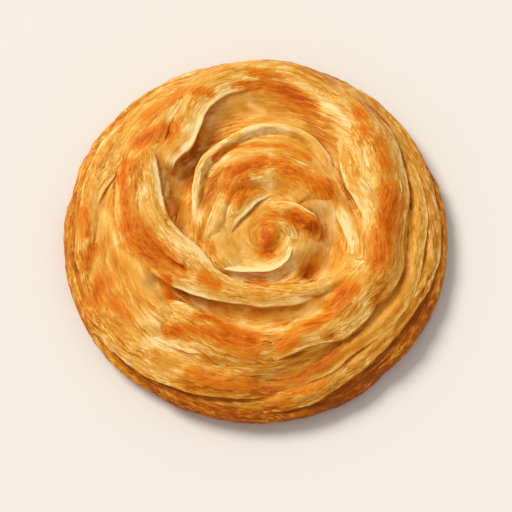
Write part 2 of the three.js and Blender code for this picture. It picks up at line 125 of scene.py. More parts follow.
FOLDS = [
    # the back of the ring, ending in a leaf over the crescent gap
    {"faces": INWARD, "ends": [50, 5],
     "edge": [(34, 60), (48, 64), (60, 67), (72, 69.5), (85, 70.2), (100, 67.3), (107, 64.2), (113, 59.9),
      (118, 54.4), (127, 49), (136, 48.4), (147, 47.6)],
     "reach": [20, 22, 23, 23, 19, 12], "lip": [0.5, 1, 1.6, 3.4, 5.2, 4],
     "crest": [3.6, 4.6, 5.8, 6.6, 6.4, 5]},
    # the right of the ring, with the long edge that runs round to the front
    {"ends": [50, 26],
     "edge": [(66, 87), (52, 84), (40, 80.8), (30, 77.5), (14, 73.3), (5, 70), (356, 68.3), (342, 70.3),
      (333, 68.9), (325, 66.7), (318, 67), (309, 67.3), (304, 66), (295, 62.9), (284, 63.3), (275, 65.8),
      (268, 68)],
     "reach": [20, 26, 28, 28, 26, 24, 22, 18, 14, 10],
     "lip": [1, 2, 3.2, 3.6, 3.6, 3.6, 3.6, 3.6, 3.6, 3.2],
     "crest": [6, 8, 8.3, 8.3, 8.2, 7.4, 6, 5.2, 4.8, 4.2]},
    # the inner side of the right of the ring
    {"faces": INWARD, "ends": [52, 24],
     "edge": [(63, 62.1), (57, 60.9), (51, 58.4), (45, 54.3), (39, 50.1), (32, 47), (25, 45.6),
      (19, 45.8), (12, 47.2), (7, 48.6), (360, 49.4), (352, 50.4), (344, 52.5), (336, 56)],
     "reach": [13, 15, 16, 15, 13], "lip": [4, 4.8, 5.4, 5.6, 5.6], "crest": [6.4, 7.6, 8.4, 8.4, 7.6]},
    # the outer half of the left of the ring, running on as the lower band in front of the eye
    {"ends": [24, 30],
     "edge": [(136, 70), (154, 69.1), (160, 67.9), (171, 65.3), (179, 63.8), (188, 61.4), (196, 57.6),
      (205, 53.2), (214, 49.6), (223, 46.2), (234, 42.7), (247, 40), (260, 38.8), (272, 39.6),
      (283, 40.4), (296, 42.4), (310, 44.6), (324, 48)],
     "reach": [18, 22, 24, 22, 18, 15, 13, 11.5, 11, 12, 12],
     "lip": [3.4, 4.5, 5, 5, 4.6, 4.2, 3.4, 3.2, 3.2, 3.4, 3.6],
     "crest": [6.2, 7.4, 7.8, 7.6, 7, 6, 5.2, 4.8, 4.8, 5, 5.2]},
    # the inner half of it, whose edge runs from the leaf down round the eye to the right
    {"faces": INWARD, "ends": [16, 30],
     "edge": [(137, 66), (144, 57.2), (150, 51.5), (160, 45.9), (170, 42), (179, 38.2), (186, 34.7),
      (197, 30.4), (206, 27.8), (217, 27.2), (232, 28), (247, 28), (265, 28.5), (279, 29.4), (291, 31.2),
      (303, 34.4), (311, 37.3), (319, 41), (327, 44.6), (335, 47.2), (345, 51.5)],
     "reach": [6, 9, 10, 12, 13, 11, 9, 8, 8, 8, 9, 10],
     "lip": [5.6, 6.4, 6.4, 6.4, 5.9, 5, 4.1, 3.6, 3.4, 3.6, 4.2, 4.6],
     "crest": [6.8, 8, 8.2, 8, 7.2, 6.2, 5.2, 4.8, 4.8, 5, 5.6, 6.2],
     "tail": [5.5, 8, 8.2, 8, 6.6, 4.6, 1, -1, -1, -1, -1, -1]},
    # the mound inside the ring: a thin band along its rim, with a step down to the floor inside
    {"ends": [20, 20],
     "edge": [(186, 29), (172, 29.6), (157, 32), (141, 36.8), (129, 41.3), (115, 43.6), (103, 46.3),
      (92, 49.4), (77, 51.8), (61, 51.6), (47, 48.9), (37, 45.5), (26, 42)],
     "reach": [6, 6.5, 6.5, 6, 5.5, 6, 7], "lip": [3.2, 4.4, 4.4, 4.4, 4.4, 4.2, 3.4],
     "crest": [4, 5, 5, 5, 5, 4.8, 4]},
    # the outer turn of the swirl on the mound
    {"about": EYE, "ends": [18, 18],
     "edge": [(163, 30.2), (142, 33.3), (129, 37), (116, 38.3), (100, 38.4), (84, 38.3), (75, 37.9),
      (64, 36.9), (53, 36), (42, 35.5), (30, 34), (18, 31)],
     "reach": [14, 18, 20, 20, 15], "lip": [4.6, 5, 5.2, 5, 4.4], "crest": [5.4, 6, 6.2, 6, 5]},
    # the three leaves of the swirl left of the eye
    {"about": EYE, "ends": [10, 16],
     "edge": [(193, 32.7), (181, 30.6), (169, 29.4), (156, 29.1), (145, 30.1), (135, 31.2), (125, 32.3),
      (116, 33)],
     "reach": [6, 9, 11, 10], "lip": [4.2, 5, 5.6, 5.6], "crest": [4.6, 5.6, 6.2, 6]},
    {"about": EYE, "ends": [14, 16],
     "edge": [(178, 27), (171, 25.4), (163, 24.4), (151, 24.2), (138, 24.6), (126, 25.1), (113, 25.5),
      (102, 25.6)],
     "reach": [9, 11, 11, 10], "lip": [3.4, 4.8, 5.8, 6], "crest": [4, 5.6, 6.4, 6.4]},
    {"about": EYE, "faces": INWARD, "ends": [13, 18],
     "edge": [(196, 22.4), (188, 20.2), (180, 18.2), (165, 16.1), (147, 14.7), (127, 14.4), (110, 15.9),
      (97, 17.6), (86, 20), (74, 23)],
     "reach": [7, 9, 12, 12], "lip": [3, 4, 4.2, 3.6], "crest": [3.4, 4.8, 5.4, 4.4]},
    # the innermost turn, thickest on the right where it drops into the pit
    {"about": EYE, "ends": [14, 16],
     "edge": [(114, 14.5), (99, 15), (85, 15.6), (73, 16.5), (60, 17.7), (48, 19.1), (37, 20.2),
      (27, 21.4), (18, 22.8), (9, 23.3), (358, 22.6), (345, 20.4)],
     "reach": [8, 9, 10, 10, 9], "lip": [3.2, 3.6, 4, 4.2, 3.6], "crest": [4.6, 5.4, 5.8, 6, 5]},
    # the saucer round the eye, hollow towards its middle
    {"about": EYE, "ends": [14, 12],
     "edge": [(199, 31.3), (207, 30.3), (216, 28.3), (226, 25.4), (240, 21.6), (258, 19.1), (273, 17.7),
      (286, 16.7), (301, 15.1), (320, 12.6), (338, 12.2), (356, 13.6)],
     "reach": [10, 12, 12, 10, 8], "lip": [2.4, 2.8, 3, 3.2, 3.4], "crest": [2, 2.2, 2.4, 2.8, 3.6]},
    # the small turn at the eye itself
    {"about": EYE, "ends": [10, 12],
     "edge": [(176, 6.6), (150, 6.8), (125, 7.1), (100, 7.6), (73, 8.4), (46, 9.4), (25, 10.8), (3, 12),
      (343, 13), (324, 13)],
     "reach": [5, 6, 7, 7, 6], "lip": [4.2, 4.8, 5, 4.8, 3.8], "crest": [4.6, 5.4, 5.6, 5.2, 4.2]},
    # the pale sheet hanging in the right of the pit
    {"faces": INWARD, "ends": [22, 14],
     "edge": [(34, 36.5), (24, 36.5), (14, 37), (5, 38), (358, 40), (351, 42.4), (344, 44.2),
      (335, 45.6)],
     "reach": [8, 10, 11, 11, 10], "lip": [0.8, 1.2, 1.6, 1.6, 1.2], "crest": [2.4, 3, 3.6, 3.8, 3.2]},
    # a flake beside the leaf
    {"faces": INWARD, "ends": [14, 5],
     "edge": [(110, 73), (117, 70), (123, 66.4), (129, 62.6), (134, 59.6), (139, 57.4)],
     "reach": [9, 10, 7], "lip": [5.8, 6.4, 5.2], "crest": [6.4, 7, 5.8]},
    # the front of the bread, between the recess and the rim
    {"faces": INWARD, "ends": [18, 30],
     "edge": [(212, 60), (221, 53.2), (228, 49.6), (238, 48.4), (247, 49), (256, 51), (268, 53),
      (282, 54), (298, 55)],
     "reach": [20, 22, 19, 12, 8], "lip": [2.6, 3.2, 3.2, 2.8, 2.4], "crest": [4.2, 4.6, 4.6, 3.8, 3]},
    {"ends": [24, 20],
     "edge": [(214, 73), (226, 71), (238, 68.4), (248, 66), (257, 64), (266, 63.2), (276, 64)],
     "reach": [12, 15, 15, 12], "lip": [2, 2.6, 2.6, 2.2], "crest": [3, 3.6, 3.6, 3]},
    # the rim in steps: right, low right, front, left and back
    {"ends": [36, 32],
     "edge": [(40, 84), (26, 82.5), (12, 81), (2, 80), (353, 78.6), (343, 79.3), (333, 79.2), (326, 78.2),
      (318, 76.6), (311, 75.2), (304, 75), (296, 77), (288, 77.6), (282, 80.6), (276, 84.5)],
     "reach": [9, 10, 10, 9, 8], "lip": [1, 1.5, 1.7, 1.7, 1.2], "crest": [1.3, 1.8, 2, 2, 1.5]},
    {"ends": [28, 28],
     "edge": [(34, 90.5), (18, 88.5), (4, 87.2), (352, 87.4), (342, 85.5), (334, 83.5), (325, 82.3),
      (314, 82.4), (304, 83.2), (294, 84.8), (286, 87), (275, 87.4), (262, 89)],
     "reach": [10, 10, 10, 11, 10], "lip": [0.8, 1.0, 1.1, 1.2, 0.9], "crest": [1.1, 1.3, 1.4, 1.5, 1.2]},
    {"ends": [30, 30],
     "edge": [(196, 92), (207, 91), (216, 88.6), (225, 86.9), (234, 85.4), (243, 84), (252, 82.7),
      (260, 81.4), (270, 80.6), (282, 80)],
     "reach": [12, 16, 17, 15, 11], "lip": [1.2, 1.9, 2.1, 2, 1.4], "crest": [2, 2.7, 2.9, 2.7, 2]},
    {"faces": INWARD, "ends": [22, 22],
     "edge": [(134, 71.5), (147, 70.3), (158, 70.6), (166, 73.2), (173, 75.2), (181, 75.2), (190, 76),
      (200, 78)],
     "reach": [10, 12, 12, 11, 10], "lip": [0.8, 1, 1.2, 1.1, 0.9], "crest": [1.4, 1.8, 2, 1.9, 1.5]},
    {"ends": [26, 26],
     "edge": [(130, 88.5), (146, 86), (157, 84.6), (165, 83.6), (172, 82.8), (180, 83.4), (190, 84.6),
      (204, 86)],
     "reach": [9, 11, 11, 10], "lip": [1.2, 2.1, 2.2, 1.4], "crest": [2, 2.8, 2.9, 2.1]},
    {"ends": [32, 32],
     "edge": [(40, 89.5), (58, 87), (74, 84.5), (90, 83.5), (106, 84), (122, 86.5), (140, 90)],
     "reach": [10, 12, 12, 10], "lip": [0.9, 1.8, 1.9, 1.1], "crest": [1.6, 2.4, 2.5, 1.7]},
]

# The lowest steps of the rim repeat all the way round: overlapping arcs that slope like the coil.
RIM_ARCS = 5
RIM_ARC = {"turn": 94, "first": 11, "near": 92, "far": 96.5}
RIM_ARC_SHAPE = {"reach": 8, "lip": 1.0, "crest": 1.5, "ends": [34, 34]}

# ---- Fineness: the last ring of the top and of the underside have the same sides ----
PROFILE_STEPS = 480
BODY_RINGS = 110
BODY_WEDGES = 4
UNDER_RINGS = 88
UNDER_WEDGES = 5
SPLINE_STEPS = 40
CHANNEL_STEPS = 6
ALONG_STEP = 1.5
ACROSS_STEP = 0.56
ACROSS_GROWTH = 1.1
FEWEST_COLUMNS = 10
TINY = 1e-6

# ---- A fold's section, in mm unless a share ----
RISE_SHARE = 0.42  # of the reach, from the free edge to the crest, and from there to the tail
FALL_SHARE = 0.58
LIP_ROUNDNESS = 1.15
FREE_FALL_END = 1.15
END_NARROWEST = 0.3  # share of the reach
END_SUNK = 1.0  # how far a fold's ends and its tail go under the body's surface
TAIL_SUNK = 0.5
ROOT_SUNK = 0.2
EDGE_GAP = 0.1
FINE_LIFT = 0.3
# Rows of the wall under a free edge, from its root up: depth and how far in. The depth is a share of the
# way down from the lip's layer to the root, and in the top rows it is counted in layers.
WALL_ROOT_INSET = 1.8
WALL_ROWS = [(0.8, 0.9), (0.55, 0.45), (0.4, 0.75), (0.12, 0.3)]
WALL_TOP = [(1.0, 0.3), (0.45, 0.0)]
WALL_WAVER = 0.2
WALL_LEAST = 0.4
ROOT_LEAST = 0.5
TAIL_ROOT_INSET = 1.0
TAIL_ROOT_SUNK = 0.5
TAIL_LEAST = 0.4

# ---- Fine relief, in mm ----
TEAR = 0.45  # how far a free edge wanders
TEAR_LENGTH = 8.0
TEAR_FADE = 3.5
LIP_BEAD = 0.3
BEAD_BEHIND = 0.5
BEAD_WIDTH = 0.8
LIP_NEAR = 1.6
FINE_FROM = (-0.6, 2.2)  # how far behind an edge the fine relief sets in
EDGE_LAYERS = [(1.4, 0.26), (3.0, 0.24), (6.2, 0.2), (10.5, 0.16)]  # set back, height
# Noise in the relief: its grain along and across the dough, and its seed.
RELIEF_NOISE = {
    "wander": (26, 8, 1), "waver": (8, 3, 2), "shown": (22, 7, 3), "wrinkle": (30, 9, 4),
    "streak": (12, 1.7, 5),
}
TERRACE_WIDTH = 4.2
TERRACE_HEIGHT = 0.22
TERRACE_SHOWN = (0.05, 0.5)
WRINKLE_HEIGHT = 0.3
STREAK_HEIGHT = 0.06
SEAM_DEPTH = 0.8
SEAM_WIDTH = 1.1
COIL_PITCH = 16.0
CRAG_HEIGHT = 0.5
CRAG_LENGTH = 5.5
CRAG_WIDTH = 2.4
CRAGS_FROM = (74, 88)
FOOT_CALM = 6
EYE_CALM = (4, 18)
FLOW_SHIFT = 70  # where the flow's centre has moved from the eye to the middle
FLOW_TURNING = 50
UNDER_FLOW = 200.0
SOURCE_APART = 37.0


# ---- Noise ----

NOISE_SEED = 7
NOISE_SLOPES = 1024
NOISE_GAIN = 1.6
HASH_FACTORS = np.array([73856093, 19349663, 83492791])
HASH_SHIFT = 3
SEED_OFFSET = 17.3

SLOPES = np.random.default_rng(NOISE_SEED).normal(size=(NOISE_SLOPES, 3))
SLOPES /= np.linalg.norm(SLOPES, axis=1)[:, None]


def noise(points):
    """Smooth noise, about -1 to 1, at an array of 3-D points."""
    shape = points.shape[:-1]
    points = points.reshape(-1, 3)
    cell = np.floor(points).astype(np.int64)
    part = points - cell
    fade = part ** 3 * (part * (part * 6 - 15) + 10)
    total = np.zeros(len(points))
    for corner in np.ndindex(2, 2, 2):
        weight = np.prod(np.where(corner, fade, 1 - fade), axis=1)
        key = np.bitwise_xor.reduce((cell + np.array(corner)) * HASH_FACTORS, axis=1)
        slope = SLOPES[(key >> HASH_SHIFT) % NOISE_SLOPES]
        total += weight * np.einsum("ij,ij->i", slope, part - corner)
    return (total * NOISE_GAIN).reshape(shape)


def flow_noise(flow, along, across, seed):
    """Noise stretched along the dough. A flow vector is millimetres along in x and y, across in z."""
    return noise(flow / np.array([along, along, across]) + SEED_OFFSET * seed)


def smoothstep(x, low, high):
    t = np.clip((x - low) / (high - low), 0, 1)
    return t * t * (3 - 2 * t)


def lerp(a, b, t):
    return a + (b - a) * t


# ---- The plain body and its skin ----

def body_section():
    """Half section of the body, radius and height, from the middle over the rim to the foot."""
    rho = np.sin(np.linspace(0, math.pi / 2, PROFILE_STEPS + 1))
    dome = np.sqrt(np.maximum(0, 1 - rho ** DOME_SQUARENESS))
    turn = np.linspace(0, math.pi / 2, PROFILE_STEPS // 3 + 1)[1:]
    side = FOOT_RADIUS + (BODY_RADIUS - FOOT_RADIUS) * np.cos(turn)
    radius = np.concatenate([rho * BODY_RADIUS, side])
    top = WIDEST_HEIGHT + (SHOULDER_HEIGHT - WIDEST_HEIGHT) * dome
    height = np.concatenate([top, WIDEST_HEIGHT * (1 - np.sin(turn))])
    reached = np.concatenate([[0], np.cumsum(np.hypot(np.diff(radius), np.diff(height)))])
    return radius, height, reached


SECTION_RADIUS, SECTION_HEIGHT, SECTION_REACHED = body_section()
FOOT_DISTANCE = SECTION_REACHED[-1]


def on_section(distance):
    return [np.interp(distance, SECTION_REACHED, values) for values in (SECTION_RADIUS, SECTION_HEIGHT)]


def reach_of(places):
    """How far places are from the middle of the frame they are given in."""
    return np.hypot(places[..., 0], places[..., 1])


def on_skin(places, levels):
    """Points above places on the skin. A place's length is its distance over the skin."""
    distance = np.maximum(reach_of(places), TINY)
    radius, height = on_section(distance)
    outer = on_section(np.minimum(distance + 0.5, FOOT_DISTANCE))
    inner = on_section(np.maximum(distance - 0.5, 0))
    slope = np.stack([outer[0] - inner[0], outer[1] - inner[1]])
    slope /= np.hypot(slope[0], slope[1])
    radius = radius - slope[1] * levels
    height = height + slope[0] * levels
    direction = places / distance[..., None]
    return np.concatenate([direction * radius[..., None], height[..., None]], axis=-1)


def place_at(polar, about):
    polar = np.asarray(polar, float)
    turn, distance = np.radians(polar[..., 0]), polar[..., 1]
    return np.stack([about[0] + distance * np.cos(turn), about[1] + distance * np.sin(turn)], axis=-1)


def spline(points, count=None):
    """Points, tangents and the length of a smooth curve through points, evenly spaced along it."""
    points = np.asarray(points, float)
    last = len(points) - 1
    t = np.linspace(0, last, SPLINE_STEPS * len(points))
    i = np.minimum(t.astype(int), last - 1)
    w = (t - i)[:, None]
    p0, p1 = points[np.maximum(i - 1, 0)], points[i]
    p2, p3 = points[i + 1], points[np.minimum(i + 2, last)]
    v0, v1 = (p2 - p0) / 2, (p3 - p1) / 2
    fine = (2 * p1 - 2 * p2 + v0 + v1) * w ** 3 + (-3 * p1 + 3 * p2 - 2 * v0 - v1) * w ** 2 + v0 * w + p1
    reached = np.concatenate([[0], np.cumsum(np.linalg.norm(np.diff(fine, axis=0), axis=1))])
    count = count or max(2, round(reached[-1] / ALONG_STEP))
    spaced = np.linspace(0, reached[-1], count + 1)
    found = np.stack([np.interp(spaced, reached, fine[:, axis]) for axis in (0, 1)], axis=1)
    tangents = np.gradient(found, axis=0)
    tangents /= np.linalg.norm(tangents, axis=1)[:, None]
    return found, tangents, reached[-1]


def spread_along(values, shares):
    """Values along a path: a number, or a list spread evenly from its start (0) to its end (1)."""
    if np.isscalar(values):
        return np.full(len(shares), float(values))
    return np.interp(shares, np.linspace(0, 1, len(values)), values)


def channels_of(table, size):
    channels = []
    for row in table:
        row = {**CHANNEL_DEFAULTS, **row}
        points = spline(place_at(row["path"], row["about"]), CHANNEL_STEPS * len(row["path"]))[0]
        sizes = spread_along(row[size], np.linspace(0, 1, len(points)))
        channels.append((points, sizes, row["spread"]))
    return channels


swell_channels = channels_of(SWELLS, "height")
hollow_channels = channels_of(HOLLOWS, "depth")


def strongest(channels, places):
    """The greatest of what channels give at places: a channel fades with the distance from its path."""
    most = np.zeros(len(places))
    for points, sizes, spread in channels:
        gap = np.linalg.norm(places[:, None, :] - points[None, :, :], axis=2)
        most = np.maximum(most, np.max(sizes * np.exp(-((gap / spread) ** 2)), axis=1))
    return most


def relief(places):
    """Level of the body's real surface above its plain skin."""
    flat = places.reshape(-1, 2)
    return (strongest(swell_channels, flat) - strongest(hollow_channels, flat)).reshape(places.shape[:-1])


# ---- Fine relief ----

def flaky(flow):
    """Level of the thin layers that break off in steps, of wrinkles and of streaks."""
    grain = {name: flow_noise(flow, *size) for name, size in RELIEF_NOISE.items()}
    field = flow[..., 2] / TERRACE_WIDTH + 1.7 * grain["wander"] + 0.3 * grain["waver"]
    step = 1 - (field - np.floor(field))
    terrace = TERRACE_HEIGHT * smoothstep(grain["shown"], *TERRACE_SHOWN) * (step - 0.5)
    return terrace + WRINKLE_HEIGHT * grain["wrinkle"] + STREAK_HEIGHT * grain["streak"]


def crags(places):
    """Level of the small crags that roughen the rim."""
    distance = np.maximum(reach_of(places), TINY)[..., None]
    at = np.concatenate([places / distance * BODY_RADIUS / CRAG_LENGTH, distance / CRAG_WIDTH], axis=-1)
    distance = distance[..., 0]
    near_rim = smoothstep(distance, *CRAGS_FROM) * smoothstep(FOOT_DISTANCE - distance, 0, FOOT_CALM)
    return CRAG_HEIGHT * near_rim * (noise(at) + 0.6 * noise(2.2 * at + 31.7))


def edge_layers(behind, flow):
    """Level taken off near a free edge, where the upper layers end a little behind the lowest."""
    track = flow * np.array([1, 1, 0])
    taken = np.zeros(behind.shape)
    for i, (set_back, height) in enumerate(EDGE_LAYERS):
        wander, waver = flow_noise(track, 13, 1, 10 + i), flow_noise(track, 3.5, 1, 20 + i)
        at = set_back * (1 + 0.55 * wander + 0.2 * waver)
        shown = smoothstep(flow_noise(track, 24, 1, 30 + i), -0.45, 0.25)
        taken += height * shown * (1 - smoothstep(behind, at - 0.25, at + 0.35))
    return taken


# ---- Sources of the union: points, faces, flow and nearness to a free edge ----

def away_from_edge(edge, tangents, about, faces):
    """Directions over the skin, square to an edge, from its free side to its back."""
    middle = (len(edge) - 1) // 2
    outwards = edge[middle] - np.array(about)
    left_is_out = tangents[middle, 0] * outwards[1] - tangents[middle, 1] * outwards[0] > 0
    sign = -1 if left_is_out == (faces == OUTWARD) else 1
    return sign * np.stack([-tangents[:, 1], tangents[:, 0]], axis=1)


def fold_level(x, behind, shape, ground, rise):
    """Level of a fold over its width: up from the lip to the crest, and down to its tail."""
    lip, crest, tail = shape
    rising = lip + (crest - lip) * np.sin(math.pi / 2 * np.minimum(x / RISE_SHARE, 1)) ** LIP_ROUNDNESS
    fall = np.clip((x - RISE_SHARE) / FALL_SHARE, 0, 1)
    free = smoothstep(tail - ground[:, -1:], 0, 1.5)
    tucked_fall = lerp(rising, ground - TAIL_SUNK, smoothstep(fall, 0, 1))
    free_fall = lerp(rising, tail, smoothstep(fall, 0, FREE_FALL_END))
    bead = LIP_BEAD * np.exp(-(((behind - BEAD_BEHIND) / BEAD_WIDTH) ** 2))
    return lerp(ground - END_SUNK, lerp(tucked_fall, free_fall, free) + bead, rise)


def wall_rows(lip_level, ground, arc):
    """How far in the rows of the wall under a free edge lie, and their levels."""
    root = ground - BURIED - ROOT_SUNK
    # two more layers, each ending a little further in or out than the last
    rows = [(WALL_ROOT_INSET, np.minimum(root, lip_level - LAYER - ROOT_LEAST))]
    for depth, inset in WALL_ROWS:
        at = lerp(lip_level - LAYER, np.minimum(root, lip_level - LAYER - WALL_LEAST), depth)
        rows.append((inset + WALL_WAVER * flow_noise(arc, 7, 1, 50 + 10 * depth), at))
    return rows + [(inset, lip_level - depth * LAYER) for depth, inset in WALL_TOP]


def fold_source(fold, seed):
    """A fold swept along its edge."""
    fold = {**FOLD_DEFAULTS, **fold}
    edge, tangents, length = spline(place_at(fold["edge"], fold["about"]))
    back = away_from_edge(edge, tangents, fold["about"], fold["faces"])
    shares = np.linspace(0, 1, len(edge))
    rise = np.minimum(
        smoothstep(shares * length, 0, fold["ends"][0]),
        smoothstep((1 - shares) * length, 0, fold["ends"][1]),
    )[:, None]
    narrowed = END_NARROWEST + (1 - END_NARROWEST) * rise
    width = spread_along(fold["reach"], shares)[:, None] * narrowed
    shape = [spread_along(fold[key], shares)[:, None] for key in ("lip", "crest", "tail")]

    columns = max(FEWEST_COLUMNS, round(float(np.max(width)) / ACROSS_STEP))
    t = np.linspace(0, 1, columns + 1)[None, :]
    x = np.expm1(ACROSS_GROWTH * t) / math.expm1(ACROSS_GROWTH)
    behind = np.maximum(x * width, EDGE_GAP)
    arc = np.stack([shares * length, np.full(len(edge), SOURCE_APART * seed), np.zeros(len(edge))], axis=1)
    tear = TEAR * (flow_noise(arc, TEAR_LENGTH, 1, 40) + 0.45 * flow_noise(arc, TEAR_LENGTH / 3.3, 1, 41))
    tear = tear[:, None] * narrowed
    place = edge[:, None, :] + back[:, None, :] * (behind + tear * np.exp(-behind / TEAR_FADE))[..., None]
    ground = relief(place)

    flow = np.broadcast_to(arc[:, None, :], place.shape[:2] + (3,)).copy()
    flow[..., 2] = behind
    fine = flaky(flow) * smoothstep(behind, *FINE_FROM) - edge_layers(behind, flow) + FINE_LIFT
    level = fold_level(x, behind, shape, ground, rise) + fine * rise + crags(place)
    lip_level = level[:, 0]

    wall, wall_flows = [], []
    for inset, at in wall_rows(lip_level, ground[:, 0], arc):
        wall.append(on_skin(edge + back * (inset + tear[:, 0])[:, None], at)[:, None, :])
        down_wall = flow[:, :1].copy()
        down_wall[:, 0, 2] -= (lip_level - at) + inset
        wall_flows.append(down_wall)

    tail_root = edge + back * (width[:, 0] - TAIL_ROOT_INSET)[:, None]
    tail_level = np.minimum(relief(tail_root) - BURIED - TAIL_ROOT_SUNK, level[:, -1] - TAIL_LEAST)
    over = [on_skin(place, level), on_skin(tail_root, tail_level)[:, None, :]]
    points = np.concatenate(wall + over, axis=1)
    flows = np.concatenate(wall_flows + [flow, flow[:, -1:]], axis=1)
    # the wall under a lip counts as the opposite of one: the lip gets a painted highlight, the wall under
    # it painted shade
    near = np.exp(-behind / LIP_NEAR) * rise
    wall_nears = [-near[:, :1]] * (len(wall) - len(WALL_TOP)) + [near[:, :1]] * len(WALL_TOP)
    nears = np.concatenate(wall_nears + [near, near[:, -1:]], axis=1)
    faces = swept_faces(points.shape[0], points.shape[1])
    return oriented(points.reshape(-1, 3), faces), flows.reshape(-1, 3), nears.ravel()


def swept_faces(rows, columns):
    """Quads between closed rings, and a fan of triangles on each end."""
    faces = []
    for i in range(rows - 1):
        for j in range(columns):
            k = (j + 1) % columns
            faces.append((i * columns + j, i * columns + k, (i + 1) * columns + k, (i + 1) * columns + j))
    far = (rows - 1) * columns
    for j in range(1, columns - 1):
        faces.append((0, j + 1, j))
        faces.append((far, far + j, far + j + 1))
    return faces


def oriented(points, faces):
    """The same closed mesh with its faces pointing out."""
    triangles = np.array([(face[0], *pair) for face in faces for pair in zip(face[1:], face[2:])])
    a, b, c = (points[triangles[:, corner]] for corner in range(3))
    if np.sum(a * np.cross(b, c)) < 0:
        faces = [face[::-1] for face in faces]
    return points, faces


def flow_of(places):
    """Flow on the body: round a centre that moves from the eye to the middle, out over the skin."""
    offset = places - np.array(EYE) * (1 - np.minimum(reach_of(places) / FLOW_SHIFT, 1))[..., None]
    distance = reach_of(offset)
    direction = offset / np.maximum(distance, TINY)[..., None]
    turning = FLOW_TURNING * np.tanh(distance / FLOW_TURNING)[..., None]
    across = distance * smoothstep(distance, -4, 13)
    return np.concatenate([direction * turning, across[..., None]], axis=-1)


def seam_near(places):
    """0 to 1: how near a place on the underside is to the seam between two turns of the coil."""
    offset = places - np.array(EYE)
    turn = np.arctan2(offset[:, 1], offset[:, 0]) / (2 * math.pi)
    spot = np.concatenate([places, np.zeros((len(places), 1))], axis=1)
    wander = 0.2 * noise(spot / 26 + 5.5) + 0.05 * noise(spot / 7 + 8.5)
    turns = reach_of(offset) / COIL_PITCH + turn + wander
    from_seam = COIL_PITCH * np.abs(turns - np.floor(turns) - 0.5)
    closed = smoothstep(noise(spot / 15 + 2.5), -0.75, 0.0)
    pressed = smoothstep(FOOT_RADIUS - reach_of(places), 0, 8)
    return np.exp(-((from_seam / SEAM_WIDTH) ** 2)) * closed * pressed


def disc_places(rings, wedges, radius_of_ring):
    """Places in rings round the middle, ring i with wedges * i of them."""
    places = [np.zeros((1, 2))]
    for ring in range(1, rings + 1):
        sides = wedges * ring
        angle = 2 * math.pi * np.arange(sides) / sides
        places.append(radius_of_ring(ring) * np.stack([np.cos(angle), np.sin(angle)], axis=1))
    return np.concatenate(places)


def disc_faces(rings, wedges, index):
    """Triangles between the rings. index(ring, k) gives the point k of a ring."""
    faces = []
    for ring in range(1, rings + 1):
        for wedge in range(wedges):
            for j in range(ring):
                inner, outer = wedge * (ring - 1) + j, wedge * ring + j
                faces.append((index(ring - 1, inner), index(ring, outer), index(ring, outer + 1)))
                if j < ring - 1:
                    near, far = index(ring - 1, inner), index(ring - 1, inner + 1)
                    faces.append((near, index(ring, outer + 1), far))
    return faces


def body_source():
    """The top, a disc of rings up to the foot, closed by the underside, a coarser disc."""
    places = disc_places(BODY_RINGS, BODY_WEDGES, lambda ring: ring / BODY_RINGS * FOOT_DISTANCE)
    flow = flow_of(places)
    at_foot = smoothstep(FOOT_DISTANCE - reach_of(places), 0, FOOT_CALM)
    from_eye = np.linalg.norm(places - np.array(EYE), axis=1)
    fine = flaky(flow) * smoothstep(from_eye, *EYE_CALM) + crags(places)
    top = on_skin(places, (relief(places) + fine) * at_foot)
    top[:, 2] = np.maximum(top[:, 2], 0.0)

    # the underside is pressed flat, with the seam of the coil as a shallow groove
    under = disc_places(UNDER_RINGS, UNDER_WEDGES, lambda ring: ring / UNDER_RINGS * FOOT_RADIUS)
    under = under[:1 + UNDER_WEDGES * UNDER_RINGS * (UNDER_RINGS - 1) // 2]
    under_flow = flow_of(under)
    groove = SEAM_DEPTH * seam_near(under)
    points = np.concatenate([top, np.concatenate([under, groove[:, None]], axis=1)])
    flows = np.concatenate([flow, under_flow + np.array([0, 0, UNDER_FLOW])])

    def in_disc(ring, k, wedges):
        return 0 if ring == 0 else 1 + wedges * ring * (ring - 1) // 2 + k % (wedges * ring)

    def on_top(ring, k):
        return in_disc(ring, k, BODY_WEDGES)

    def on_under(ring, k):
        return on_top(BODY_RINGS, k) if ring == UNDER_RINGS else len(top) + in_disc(ring, k, UNDER_WEDGES)

    under_faces = [face[::-1] for face in disc_faces(UNDER_RINGS, UNDER_WEDGES, on_under)]
    faces = disc_faces(BODY_RINGS, BODY_WEDGES, on_top) + under_faces
    return oriented(points, faces), flows, np.zeros(len(points))


def rim_folds():
    folds = []
    for i in range(RIM_ARCS):
        start = RIM_ARC["first"] + i * 360 / RIM_ARCS
        shares = (0, 0.25, 0.5, 0.75, 1)
        edge = [(start + t * RIM_ARC["turn"], lerp(RIM_ARC["near"], RIM_ARC["far"], t)) for t in shares]
        folds.append({"edge": edge, **RIM_ARC_SHAPE})
    return folds


# ---- Joining ----

def mesh_object(name, source):
    """An object, not yet in the scene, from a source."""
    (points, faces), flows, nears = source
    mesh = bpy.data.meshes.new(name)
    mesh.from_pydata((points * MM).tolist(), [], faces)
    corners = np.empty(len(mesh.loops), dtype=np.int32)
    mesh.loops.foreach_get("vertex_index", corners)
    flow = mesh.attributes.new("flow", "FLOAT_VECTOR", "CORNER")
    flow.data.foreach_set("vector", flows[corners].astype(np.float32).ravel())
    # nearness to a free edge, which paints a highlight on the edge and shade on the wall under it
    near = mesh.attributes.new("lip", "FLOAT", "CORNER")
    near.data.foreach_set("value", nears[corners].astype(np.float32))
    mesh.update()
    return bpy.data.objects.new(name, mesh)


